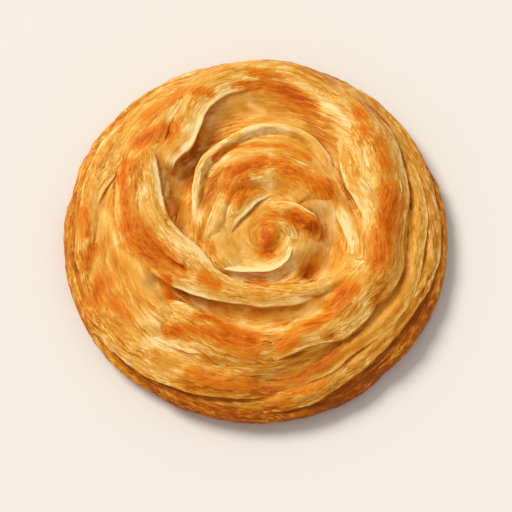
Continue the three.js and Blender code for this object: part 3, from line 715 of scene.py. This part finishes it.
def joined(sources):
    """One closed mesh object from overlapping closed sources."""
    body = mesh_object("paratha_bread", sources[0])
    bpy.context.scene.collection.objects.link(body)
    operands = bpy.data.collections.new("folds")
    for i, source in enumerate(sources[1:]):
        operands.objects.link(mesh_object(f"fold_{i}", source))
    bpy.context.scene.collection.children.link(operands)
    union = body.modifiers.new("union", "BOOLEAN")
    union.operation = "UNION"
    union.solver = "MANIFOLD"
    union.operand_type = "COLLECTION"
    union.collection = operands
    shaped = bpy.data.meshes.new_from_object(body.evaluated_get(bpy.context.evaluated_depsgraph_get()))
    body.modifiers.clear()
    body.data = shaped
    for operand in list(operands.objects):
        bpy.data.objects.remove(operand)
    bpy.data.collections.remove(operands)
    return body


def keep_largest_shell(mesh):
    """Keeps the outer shell alone: what the union seals inside, or leaves loose, goes."""
    shape = bmesh.new()
    shape.from_mesh(mesh)
    bmesh.ops.triangulate(shape, faces=[face for face in shape.faces if len(face.verts) > 3])
    unseen = set(shape.faces)
    shells = []
    while unseen:
        waiting = [unseen.pop()]
        shell = []
        while waiting:
            face = waiting.pop()
            shell.append(face)
            beside = unseen.intersection(other for edge in face.edges for other in edge.link_faces)
            unseen -= beside
            waiting.extend(beside)
        shells.append(shell)
    shells.sort(key=len)
    for shell in shells[:-1]:
        bmesh.ops.delete(shape, geom=shell, context="FACES")
    # two triangles on the same three corners are a flap with nothing in it
    on_corners = {}
    for face in shape.faces:
        on_corners.setdefault(frozenset(face.verts), []).append(face)
    flaps = [face for faces in on_corners.values() if len(faces) > 1 for face in faces]
    bmesh.ops.delete(shape, geom=flaps, context="FACES")
    shape.to_mesh(mesh)
    shape.free()


folds = FOLDS + rim_folds()
bread = joined([body_source()] + [fold_source(fold, i + 1) for i, fold in enumerate(folds)])
keep_largest_shell(bread.data)


# ---- Measures on the joined mesh, kept as attributes for the material ----

# Strokes where the crust touched the pan, with a few painted shadow lines among them, and strokes of pale
# dough and of painted light: strength, half-width in mm, and the path over the top as x, y.
TOASTED = [
    # back of the ring
    (1, 2.4, [(7, 71), (13, 69), (25, 61)]),
    (0.6, 1.4, [(3, 72), (0, 70)]),
    (0.55, 1, [(-2, 77), (5, 77), (12, 75)]),
    (0.6, 1.2, [(-9, 71), (1, 71)]),
    # upper left of the ring
    (0.6, 1.2, [(-30, 68), (-21, 66)]),
    (0.5, 1.9, [(-35, 67), (-51, 56)]),
    (1, 2.1, [(-55, 42), (-40, 47)]),
    # left of the ring
    (0.8, 1.3, [(-60, 31), (-62, 21), (-58, 1)]),
    (1, 3.4, [(-57, -1), (-54, -7), (-49, -13), (-44, -17)]),
    (0.75, 2.3, [(-44, -16), (-33, -22)]),
    # a painted shadow in a small pocket
    (0.6, 1.4, [(-41, -27), (-39, -34)]),
    # left rim
    (0.5, 1.2, [(-80, 9), (-78, -2)]),
    (0.7, 1.2, [(-78, -17), (-75, -9)]),
    (0.8, 2.3, [(-74, -33), (-72, -28), (-69, -25)]),
    (0.6, 1.6, [(-67, -34), (-58, -43)]),
    # lower band
    (0.5, 1.4, [(-24, -26), (-18, -30)]),
    (0.6, 1.4, [(-3, -27), (4, -28)]),
    # front
    (0.8, 1.7, [(-39, -50), (-27, -52), (-18, -52)]),
    (1, 3.3, [(-13, -53), (-2, -57)]),
    (0.6, 1.4, [(-26, -43), (-18, -45)]),
    (0.5, 1.4, [(13, -82), (20, -77), (29, -74)]),
    (0.6, 1.6, [(-29, -69), (-18, -74), (-9, -75), (-2, -73)]),
    # lower right of the ring
    (0.9, 2.6, [(42, -31), (36, -38)]),
    (0.7, 1.6, [(33, -44), (18, -51)]),
    (0.8, 2.1, [(16, -54), (13, -57)]),
    # right of the ring
    (0.5, 1.6, [(58, 42), (60, 27)]),
    (1, 2.9, [(62, 15), (63, 9), (61, -2)]),
    (0.8, 2.8, [(59, -4), (56, -19)]),
    (0.7, 1.4, [(48, 58), (50, 54)]),
    (0.6, 1.2, [(51, 48), (51, 44)]),
    # swirl
    (0.8, 2.8, [(11, 29), (34, 17)]),
    (1, 2.3, [(-10, 25), (2, 30)]),
    (0.65, 2.4, [(-11, 17), (-5, 21)]),
    (0.6, 2.3, [(-10, 12), (-4, 15)]),
    # innermost turn, eye
    (1.25, 2, [(18, 3), (23, 1), (27, -2)]),
    (1.1, 2.3, [(6, -5), (5, -12)]),
    # a painted shadow line along the top of the eye
    (0.6, 0.9, [(2, 1), (6, 3), (14, 3)]),
    # the step inside the mound's band: a painted shadow line along its foot
    (0.6, 0.4, [(-19, 33), (-13, 38), (-5, 40), (6, 40), (16, 38), (25, 33)]),
]
PALE_AND_PAINTED_LIGHT = [
    # walls and leaves, with painted light on the walls
    (0.8, 1.4, [(-31, 19), (-27, 3)]),
    (0.7, 1.9, [(-33, 47), (-25, 60)]),
    (0.8, 2.3, [(-47, 28), (-42, 12)]),
    (1, 3.3, [(-38, -9), (-24, -18)]),
    (0.5, 2.3, [(-52, 23), (-52, 13), (-49, 3)]),
    (0.7, 1.4, [(-23, 32), (-16, 38), (-4, 42), (9, 43)]),
    # thin flakes in the crescent gap
    (1.2, 0.3, [(-25, 42), (-20, 42), (-14, 41)]),
    (1, 0.3, [(-3, 63), (4, 60)]),
    # left
    (0.8, 1.4, [(-70, 8), (-64, -7)]),
    (0.6, 1.9, [(-74, -10), (-70, -19), (-63, -27)]),
    # saucer and pit
    (0.45, 3.3, [(-13, -4), (-6, -16)]),
    (0.5, 2.4, [(-15, -15), (-9, -20)]),
    (0.6, 2.3, [(14, -7), (20, -14)]),
    (0.9, 2.3, [(40, 4), (43, -8)]),
    (1.2, 2.8, [(31, -5), (33, -12), (32, -21)]),
    # swirl
    (0.8, 1.4, [(6, 32), (7, 19)]),
    (0.7, 1.9, [(-14, -5), (-9, 0), (3, 11)]),
    # right of the ring
    (0.6, 2.8, [(41, 52), (49, 20), (50, 8)]),
    (0.5, 2.8, [(45, 31), (52, -11)]),
    (0.7, 1.9, [(21, 69), (30, 64), (39, 55), (42, 42)]),
    (0.6, 2.3, [(-22, 63), (-14, 68), (-5, 71)]),
    (0.6, 2.3, [(71, -15), (72, -25), (68, -35)]),
    (0.5, 2.3, [(47, -18), (50, -23), (48, -28)]),
    # front
    (1, 1.4, [(-48, -53), (-42, -56), (-37, -55)]),
    # where the light reaches into the gaps
    (1.2, 1.9, [(-36, 32), (-37, 19)]),
    (0.8, 2.3, [(-16, 65), (-22, 57), (-30, 40)]),
    (1.6, 1.9, [(-9, -23), (0, -24), (9, -22)]),
    (1, 1.9, [(-15, 8), (-17, 1), (-20, -4)]),
    (1, 1.9, [(-3, 46), (5, 47), (13, 46)]),
    (0.8, 1.9, [(-35, -32), (-25, -36)]),
    (0.5, 2.3, [(29, 7), (30, 2), (30, -4)]),
    (0.6, 1.9, [(19, -33), (32, -30)]),
    (0.5, 1.4, [(53, -53), (58, -49), (63, -43)]),
    (0.8, 2.3, [(-6, -46), (19, -51)]),
    (0.5, 3.3, [(-69, -54), (-52, -66), (-43, -70)]),
    (0.7, 1.4, [(-2, -62), (11, -60), (36, -48)]),
    (0.5, 1.9, [(-7, 81), (4, 81), (16, 79)]),
    (1.5, 1.9, [(-32, 38), (-31, 35)]),
    (0.7, 1.9, [(-27, 46), (-25, 42)]),
    (1, 1.9, [(-39, 31), (-33, 32)]),
    (1.2, 1.9, [(9, -21), (13, -20), (16, -17)]),
    (0.7, 1.9, [(16, -44), (28, -41)]),
    (0.8, 1.9, [(-46, -44), (-41, -47)]),
    (0.7, 1.9, [(0, 22), (6, 20)]),
    (0.6, 2.3, [(-47, -26), (-44, -29)]),
    (0.6, 1.9, [(30, 0), (31, -2), (30, -6)]),
    (0.7, 2.3, [(-57, -58), (-50, -63)]),
    (0.6, 1.9, [(9, 73), (17, 69)]),
    (0.5, 1.9, [(-42, -9), (-37, -16)]),
    (0.9, 1.9, [(-23, 29), (-17, 34)]),
    (0.6, 1.9, [(35, 38), (38, 28)]),
]
# Strokes of painted shade, darker dough deep in the gaps, under the edges and round the rim.
PAINTED_SHADE_STROKES = [
    (0.3, 1.4, [(-29, 33), (-31, 22)]),
    (1, 1.9, [(3, -77), (16, -73), (24, -69), (31, -64), (37, -57)]),
    (0.85, 1.9, [(-19, 22), (-23, 10)]),
    (0.65, 2.3, [(-55, 30), (-54, 20)]),
    (0.8, 2.8, [(55, -29), (54, -37)]),
    (0.5, 2.3, [(36, -8), (35, -18)]),
    (0.9, 1.9, [(-22, -77), (-8, -78), (-1, -77)]),
    (0.3, 1.2, [(22, -15), (22, -25)]),
    (0.55, 5.2, [(1, -64), (9, -62), (16, -60)]),
    (0.2, 6.6, [(-15, -16), (-15, -10), (-11, -6)]),
    (0.5, 1.4, [(68, -2), (70, -17), (67, -33), (61, -45), (47, -57), (34, -63)]),
    (0.45, 3.5, [(-72, -44), (-62, -55), (-52, -65), (-41, -72)]),
    (0.4, 3, [(-84, 20), (-85, 2), (-82, -16)]),
    (0.5, 3.5, [(-48, -75), (-25, -84), (0, -86), (25, -84), (47, -73)]),
    (0.6, 3.5, [(47, -73), (66, -54), (78, -33)]),
    (0.45, 2.3, [(-9, -44), (0, -44)]),
    (0.6, 2.3, [(-50, -69), (-40, -74), (-27, -76)]),
    (0.4, 2.3, [(-72, -9), (-70, -18)]),
    (0.45, 2.3, [(-21, -62), (-12, -62)]),
    (0.5, 2.3, [(26, 52), (34, 46)]),
    (0.45, 2.3, [(-65, -24), (-61, -32)]),
    (0.5, 1.9, [(40, -59), (46, -51)]),
]
# Floors of the hollows, where the dough is a smooth skin.
SMOOTH = [
    (1, 3.8, [(-25, 52), (-16, 59), (-3, 61), (10, 57), (31, 37)]),
    (1, 1.9, [(-7, 37), (3, 40), (14, 40), (23, 36), (32, 28)]),
    (1, 3.8, [(10, 18), (31, 8), (38, 0)]),
    (1, 3.3, [(-14, -6), (-9, -15), (0, -18), (10, -15)]),
    (1, 3.3, [(3, -3), (7, -8)]),
    (1, 2.8, [(-7, -5), (-3, 2), (3, 8)]),
    (1, 3.8, [(26, -11), (33, -17), (40, -29)]),
    (1, 2.8, [(-40, 32), (-31, 7)]),
    (1, 2.8, [(-26, -34), (-14, -39), (0, -41), (16, -41), (26, -38)]),
    (1, 3.3, [(18, -71), (34, -64), (47, -56), (59, -44), (66, -30), (69, -13)]),
    (1, 4.2, [(-73, 15), (-63, -11), (-49, -32)]),
]
# The underside: the heights where it ends, the size of its toasted patches and of their ragged edge, the
# distances from the middle where they set in and where they fade, the noise that shows them, and the
# heights that count as in the seam.
UNDER_HEIGHTS = (0.9, 1.6)
UNDER_PATCH = 17.0
UNDER_EDGE = 5.0
UNDER_RING = (12.0, 40.0, 66.0, 82.0)
UNDER_STEPS = (0.0, 0.95)
SEAM_HEIGHTS = (0.1, 0.6)
# The heights where the painted shade of the rim and of the foot ends, and the side, away from the light,
# where the rim's painted shade is darkest.
RIM_SHADE_HEIGHTS = (3.0, 17.0)
FOOT_SHADE_HEIGHTS = (1.0, 6.0)
SHADIEST_SIDE = math.radians(-60)
# A stroke's reach, in half-widths and in mm more, and the heights where strokes set in.
STROKE_HALO = 1.4
STROKE_BLUR = 0.8
STROKE_HEIGHTS = (4, 9)
MAP_HALF = 100  # mm
CAVITY_BLURS = (3, 7)
CAVITY_LIMITS = (-3, 8)
CREASE_CELL = 0.6  # mm
CREASE_REACH = 2  # cells
CREASE_STEPS = (1.1, 2.8)
SHARP_ANGLE = math.radians(50)


def height_map(points, cell):
    """The highest point in each cell of a map of the bread, and the cell of each point."""
    half = round(MAP_HALF / cell)
    heights = np.zeros((2 * half + 1, 2 * half + 1))
    cells = np.clip(np.round(points[:, :2] / cell).astype(int) + half, 0, 2 * half)
    cells = (cells[:, 0], cells[:, 1])
    np.maximum.at(heights, cells, points[:, 2])
    return heights, cells


def blurred(grid, radius):
    """Box blur, twice. The rim of the map is empty, so the blur may run round it."""
    for axis in (0, 1, 0, 1):
        grid = np.mean([np.roll(grid, shift, axis) for shift in range(-radius, radius + 1)], axis=0)
    return grid


def cavity(points):
    """How deep a point lies under its surroundings, in mm: above 0 in gaps and under 0 on crests."""
    heights, cells = height_map(points, 1)
    around = sum(blurred(heights, radius) for radius in CAVITY_BLURS) / len(CAVITY_BLURS)
    return around[cells] - points[:, 2]


def crease(points):
    """How far the highest dough close by stands over a point, in mm: large at the foot of a wall."""
    heights, cells = height_map(points, CREASE_CELL)
    near = range(-CREASE_REACH, CREASE_REACH + 1)
    shifts = [(dx, dy) for dx in near for dy in near if dx * dx + dy * dy <= CREASE_REACH ** 2 + 1]
    highest = np.max([np.roll(heights, shift, axis=(0, 1)) for shift in shifts], axis=0)
    return highest[cells] - points[:, 2]


def strokes_at(points, strokes):
    """Strength of the strongest of a list of strokes at each point. Their rims are soft."""
    channels = [
        (spline(path, CHANNEL_STEPS * len(path))[0], strength, STROKE_HALO * half_width + STROKE_BLUR)
        for strength, half_width, path in strokes
    ]
    return strongest(channels, points[:, :2]) * smoothstep(points[:, 2], *STROKE_HEIGHTS)


def under_toast(points):
    """Strength of the toasted patches where the underside lay on the pan."""
    flat = points * np.array([1, 1, 0])
    patches = noise(flat / UNDER_PATCH + 3.3) + 0.35 * noise(flat / UNDER_EDGE + 9.1)
    reach = reach_of(points)
    ring = smoothstep(reach, *UNDER_RING[:2]) * (1 - 0.6 * smoothstep(reach, *UNDER_RING[2:]))
    return 0.9 * smoothstep(patches + 0.35 * ring, *UNDER_STEPS)


def measure(mesh):
    """Writes what the material reads besides flow and lip."""
    points = np.array([vertex.co for vertex in mesh.vertices]) / MM
    height = points[:, 2]
    under = 1 - smoothstep(height, *UNDER_HEIGHTS)
    in_seam = under * smoothstep(height, *SEAM_HEIGHTS)
    # painted shade: the rim and the foot darker, the rim darkest on the side away from the light
    rim_side = 1 - smoothstep(height, *RIM_SHADE_HEIGHTS)
    foot = (1 - smoothstep(height, *FOOT_SHADE_HEIGHTS)) * (1 - 0.7 * under)
    towards_shadiest = np.cos(np.arctan2(points[:, 1], points[:, 0]) - SHADIEST_SIDE)
    rim_shade = rim_side * (1 - under) * (0.6 + 0.4 * towards_shadiest)
    pan_toast = under * (1 - in_seam) * under_toast(points)
    attributes = {
        "toast": np.maximum(strokes_at(points, TOASTED), pan_toast),
        # pale dough, and painted light on walls and on the floors of gaps
        "pale_and_painted_light": np.maximum(strokes_at(points, PALE_AND_PAINTED_LIGHT), 0.3 * under + 0.3 * in_seam),
        # painted shade in the gaps, under the edges and round the rim
        "painted_shade": strokes_at(points, PAINTED_SHADE_STROKES),
        "smooth": np.maximum(strokes_at(points, SMOOTH), 0.7 * under),
        # depth under the surroundings, which paints shade into gaps and light onto crests
        "depth": np.clip(cavity(points), *CAVITY_LIMITS) * (1 - rim_side),
        # painted shade at the foot of each wall
        "crease": smoothstep(crease(points), *CREASE_STEPS) * (1 - rim_side),
        "rim_shade": np.maximum(foot, rim_shade),
    }
    for name, values in attributes.items():
        attribute = mesh.attributes.new(name, "FLOAT", "POINT")
        attribute.data.foreach_set("value", values.astype(np.float32))


mesh = bread.data
measure(mesh)
mesh.polygons.foreach_set("use_smooth", np.ones(len(mesh.polygons), dtype=bool))
mesh.set_sharp_from_angle(angle=SHARP_ANGLE)


# ---- Material ----

def srgb(red, green, blue):
    def linear(value):
        value /= 255
        return value / 12.92 if value <= 0.04045 else ((value + 0.055) / 1.055) ** 2.4
    return (linear(red), linear(green), linear(blue), 1.0)


class Nodes:
    """Short calls for the nodes of one material."""

    def __init__(self, name):
        self.material = bpy.data.materials.new(name)
        self.material.use_nodes = True
        self.tree = self.material.node_tree
        self.shader = self.tree.nodes["Principled BSDF"]

    def fill(self, node, inputs):
        """Links the inputs that are sockets, and sets the others."""
        for key, value in inputs.items():
            if isinstance(value, bpy.types.NodeSocket):
                self.tree.links.new(value, node.inputs[key])
            else:
                node.inputs[key].default_value = value

    def add(self, kind, inputs, **settings):
        node = self.tree.nodes.new(kind)
        for key, value in settings.items():
            setattr(node, key, value)
        self.fill(node, inputs)
        return node

    def attribute(self, name, output):
        return self.add("ShaderNodeAttribute", {}, attribute_name=name).outputs[output]

    def math(self, operation, a, b=0.0):
        return self.add("ShaderNodeMath", {0: a, 1: b}, operation=operation).outputs[0]

    def plus(self, a, b):
        return self.math("ADD", a, b)

    def times(self, a, b):
        return self.math("MULTIPLY", a, b)

    def weighed(self, values, weights):
        """Sum of the values that the weights name, each times its weight."""
        return reduce(self.plus, [self.times(values[name], weight) for name, weight in weights.items()])

    def scaled(self, vector, scale, offset):
        """The vector, scaled and moved."""
        inputs = {0: vector, 1: scale, 2: offset}
        return self.add("ShaderNodeVectorMath", inputs, operation="MULTIPLY_ADD").outputs[0]

    def noise(self, vector, scale, detail, roughness):
        inputs = {"Vector": vector, "Scale": scale, "Detail": detail, "Roughness": roughness}
        return self.add("ShaderNodeTexNoise", inputs).outputs

    def flow_noise(self, flow, along, across, offset, detail=3.0, roughness=0.55):
        """Noise stretched along the dough, its grain in mm along and across. About 0.25 to 0.75."""
        placed = self.scaled(flow, (1 / along, 1 / along, 1 / across), (offset,) * 3)
        return self.noise(placed, 1.0, detail, roughness)["Fac"]

    def flakes(self, flow, along, across, offset):
        """A random value, -0.5 to 0.5, for each small flake of crust. The flakes lie along the dough."""
        placed = self.scaled(flow, (1 / along, 1 / along, 1 / across), (offset,) * 3)
        torn = self.scaled(self.noise(placed, *FLAKE_NOISE)["Color"], (FLAKE_RAGGED,) * 3, placed)
        cells = self.add("ShaderNodeTexVoronoi", {"Vector": torn, "Scale": 1.0})
        value = self.add("ShaderNodeSeparateColor", {"Color": cells.outputs["Color"]}).outputs["Red"]
        return self.math("SUBTRACT", value, 0.5)

    def ramp(self, value, low, high, to_low=0.0, to_high=1.0):
        ends = {"From Min": low, "From Max": high, "To Min": to_low, "To Max": to_high}
        node = self.add("ShaderNodeMapRange", {"Value": value, **ends}, interpolation_type="SMOOTHSTEP")
        return node.outputs["Result"]

    def mix(self, share, a, b):
        return self.add("ShaderNodeMix", {0: share, 6: a, 7: b}, data_type="RGBA").outputs[2]


# Untoasted dough, tone and colour, from painted shade deep in a gap to a painted highlight on a thin edge.
DOUGH_TONES = [
    (0.0, srgb(150, 70, 8)),
    (0.25, srgb(192, 102, 14)),
    (0.5, srgb(218, 146, 44)),
    (0.75, srgb(240, 184, 92)),
    (1.0, srgb(255, 224, 160)),
]
MIDDLE_TONE = 0.48
# Toasted crust from its rim to its middle, and the thin flakes that lift off it.
AMBER = srgb(228, 138, 28)
TOAST = srgb(214, 106, 4)
DARK_TOAST = srgb(180, 72, 0)
LIGHT_FLAKE = srgb(240, 164, 76)
LAYER_PITCH = 2.6  # mm
FLAKE_NOISE = (1.7, 3.0, 0.6)  # scale, detail, roughness
FLAKE_RAGGED = 2.2
ATTRIBUTES = ("lip", "toast", "pale_and_painted_light", "painted_shade", "smooth", "depth", "crease", "rim_shade")
# Noise and flakes: their grain along and across the dough in mm and their offset, and where it isn't the
# usual, their detail and roughness.
CRUST_NOISE = {
    "hair": (4.5, 0.62, 41), "haired": (22, 7, 23), "streak": (7, 1.6, 0), "band": (20, 5.5, 7),
    "mottle": (5.5, 3.2, 17, 4.0, 0.6), "wander": (20, 6, 71), "waver": (5, 2, 73),
    "layered": (17, 5, 79), "flecks": (4.5, 0.8, 61), "patches": (9, 3.5, 67), "lifted": (5, 0.7, 91),
}
FLAKES = {"wide_flakes": (4.5, 1.5, 101), "small_flakes": (2.2, 0.8, 103)}
GRAIN_WEIGHTS = {"band": 0.95, "mottle": 0.45}
# Several of these paint light and shade into the tone: a painted highlight on free edges, on crests and on
# the edges of thin layers, painted light on lit walls and gap floors, and painted shade on the walls under
# edges, in gaps, at the foot of walls, in the shade strokes and round the rim.
TONE_WEIGHTS = {
    "hairs": 0.3, "streaks": 0.6, "wide_flakes": 0.14, "small_flakes": 0.1, "layers": 1.0, "lip": 0.25,
    "pale_and_painted_light": 0.34, "in_gap": -1.0, "on_crest": 1.0, "rim_shade": -0.46, "painted_shade": -0.45, "crease": -0.24,
    "toast": -0.25,
}
RAGGED_WEIGHTS = {"flecks": 2.1, "patches": 1.7, "wide_flakes": 0.5, "small_flakes": 0.3}
RAGGED_MIDDLE = 0.5 * (RAGGED_WEIGHTS["flecks"] + RAGGED_WEIGHTS["patches"]) - 0.12
BUMP_WEIGHTS = {
    "hairs": 0.35, "streaks": 0.4, "wide_flakes": 0.25, "small_flakes": 0.1, "mottle": 0.3, "layers": 0.9,
}


def crust_layers(n, grain, across, flaked):
    """Thin layers that end one behind the other, each with a painted highlight on its edge over a painted
    shadow line.
    """
    wander = n.weighed(grain, {"wander": 3.2, "waver": 0.9})
    course = n.math("FRACT", n.plus(n.times(across, 1 / LAYER_PITCH), wander))
    often = n.weighed(grain, {"layered": 1.0, "rim_shade": 0.2})
    # a painted highlight on each layer's edge, and a painted shadow line under it
    lines = {
        "painted_edge_highlight": n.times(n.ramp(course, 0.6, 0.92), n.ramp(course, 0.95, 0.99, 1.0, 0.0)),
        "painted_edge_shadow": n.ramp(course, 0.0, 0.16, 1.0, 0.0),
    }
    layers = n.weighed(lines, {"painted_edge_highlight": 0.2, "painted_edge_shadow": -0.34})
    return n.times(layers, n.times(n.ramp(often, 0.45, 0.6), flaked))


def crust_grain(n):
    """What the crust is mixed from, by name: attributes, noise, streaks, flakes, layers, and painted shade
    in gaps and painted light on crests.
    """
    flow = n.attribute("flow", "Vector")
    grain = {name: n.attribute(name, "Fac") for name in ATTRIBUTES}
    grain.update({name: n.flow_noise(flow, *size) for name, size in CRUST_NOISE.items()})
    flaked = n.math("SUBTRACT", 1.0, n.times(grain["smooth"], 0.8))
    grain.update({name: n.times(n.flakes(flow, *size), flaked) for name, size in FLAKES.items()})
    grain["streaks"] = n.times(n.math("SUBTRACT", grain["streak"], 0.5), flaked)
    hair_lines = n.math("SUBTRACT", n.ramp(grain["hair"], 0.47, 0.61), 0.33)
    haired = n.ramp(grain["haired"], 0.4, 0.6, 0.3, 1.0)
    grain["hairs"] = n.times(n.times(hair_lines, haired), flaked)
    across = n.add("ShaderNodeSeparateXYZ", {"Vector": flow}).outputs["Z"]
    grain["layers"] = crust_layers(n, grain, across, flaked)
    # painted shade in the gaps and painted light on the crests
    grain["in_gap"] = n.ramp(grain["depth"], 0.2, 5.5, 0.0, 0.8)
    grain["on_crest"] = n.ramp(n.times(grain["depth"], -1.0), 0.0, 2.5, 0.0, 0.1)
    return grain


def dough_colour(n, grain):
    """The colour of the dough before it is toasted, with painted light and shade in its tone."""
    # noise is 0.5 at its middle, so each weight takes half of itself off the sum
    middle = MIDDLE_TONE - 0.5 * sum(GRAIN_WEIGHTS.values())
    tone = n.plus(n.plus(n.weighed(grain, GRAIN_WEIGHTS), middle), n.weighed(grain, TONE_WEIGHTS))
    ramp = n.add("ShaderNodeValToRGB", {"Fac": tone})
    stops = ramp.color_ramp.elements
    while len(stops) < len(DOUGH_TONES):
        stops.new(0.5)
    for stop, (position, colour) in zip(stops, DOUGH_TONES):
        stop.position = position
        stop.color = colour
    return ramp.outputs["Color"]


def toasted(n, grain, colour):
    """The colour with its toasted strokes: ragged, darkest in the middle, under thin lifted flakes."""
    toast = grain["toast"]
    ragged = n.math("SUBTRACT", n.weighed(grain, RAGGED_WEIGHTS), RAGGED_MIDDLE)
    heat = n.plus(toast, n.times(ragged, n.ramp(toast, 0.02, 0.3)))
    colour = n.mix(n.ramp(heat, 0.1, 0.45, 0.0, 0.75), colour, AMBER)
    colour = n.mix(n.ramp(heat, 0.36, 0.86, 0.0, 0.95), colour, TOAST)
    colour = n.mix(n.ramp(heat, 0.88, 1.4, 0.0, 0.8), colour, DARK_TOAST)
    lifted = n.ramp(grain["lifted"], 0.56, 0.66, 0.0, 0.35)
    return n.mix(n.times(lifted, n.ramp(toast, 0.15, 0.5)), colour, LIGHT_FLAKE)


def crust_material():
    n = Nodes("paratha_crust")
    grain = crust_grain(n)
    height = n.weighed(grain, BUMP_WEIGHTS)
    bump = n.add("ShaderNodeBump", {"Strength": 0.4, "Distance": 0.0004, "Height": height})
    n.fill(n.shader, {
        "Base Color": toasted(n, grain, dough_colour(n, grain)),
        "Roughness": n.ramp(grain["mottle"], 0.3, 0.7, 0.42, 0.60),
        "Specular IOR Level": 0.2,
        "Specular Tint": (1.0, 0.8, 0.5, 1.0),
        "Subsurface Weight": 0.1,
        "Subsurface Radius": (1.0, 0.5, 0.2),
        "Subsurface Scale": 0.0015,
        "Normal": bump.outputs["Normal"],
    })
    return n.material


mesh.materials.clear()
mesh.materials.append(crust_material())
mesh.polygons.foreach_set("material_index", np.zeros(len(mesh.polygons), dtype=np.int32))

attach(bread, "root")
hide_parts("paratha")


# ---- Floor, light and camera ----

FLOOR_HALF = 2.0  # m
FLOOR_LEVEL = -0.0001
FLOOR_COLOUR = srgb(238, 234, 228)
FLOOR_ROUGHNESS = 0.8
KEY_FROM = Vector((-0.66, 0.5, 0.9))
KEY_STRENGTH = 2.45
KEY_WIDTH = math.radians(28)
KEY_COLOUR = (1, 0.95, 0.86)
SKY_COLOUR = (1, 0.98, 0.95, 1)
SKY_STRENGTH = 0.5


def added(name, data):
    """A new object in the scene."""
    piece = bpy.data.objects.new(name, data)
    bpy.context.scene.collection.objects.link(piece)
    return piece


def stage_floor():
    signs = ((-1, -1), (1, -1), (1, 1), (-1, 1))
    corners = [(x * FLOOR_HALF, y * FLOOR_HALF, FLOOR_LEVEL) for x, y in signs]
    plane = bpy.data.meshes.new("floor")
    plane.from_pydata(corners, [], [(0, 1, 2, 3)])
    n = Nodes("floor")
    n.fill(n.shader, {"Base Color": FLOOR_COLOUR, "Roughness": FLOOR_ROUGHNESS})
    plane.materials.append(n.material)
    floor = added("floor", plane)


def studio():
    light = bpy.data.lights.new("key", "SUN")
    light.energy = KEY_STRENGTH
    light.angle = KEY_WIDTH
    light.color = KEY_COLOUR
    added("key", light).rotation_euler = (-KEY_FROM).to_track_quat("-Z", "Y").to_euler()
    world = bpy.data.worlds.new("studio")
    world.use_nodes = True
    sky = world.node_tree.nodes["Background"].inputs
    sky["Color"].default_value = SKY_COLOUR
    sky["Strength"].default_value = SKY_STRENGTH
    bpy.context.scene.world = world
    bpy.context.scene.view_settings.view_transform = "Standard"


def place_camera():
    data = bpy.data.cameras.new("camera")
    data.lens = CAMERA_LENS
    data.sensor_width = CAMERA_SENSOR
    data.clip_start = CAMERA_CLIP_START
    camera = added("camera", data)
    away = Vector((0, -math.cos(CAMERA_ELEVATION), math.sin(CAMERA_ELEVATION)))
    camera.location = CAMERA_AIM + away * CAMERA_DISTANCE
    camera.rotation_euler = (-away).to_track_quat("-Z", "Y").to_euler()
    bpy.context.scene.camera = camera


stage_floor()
studio()
place_camera()
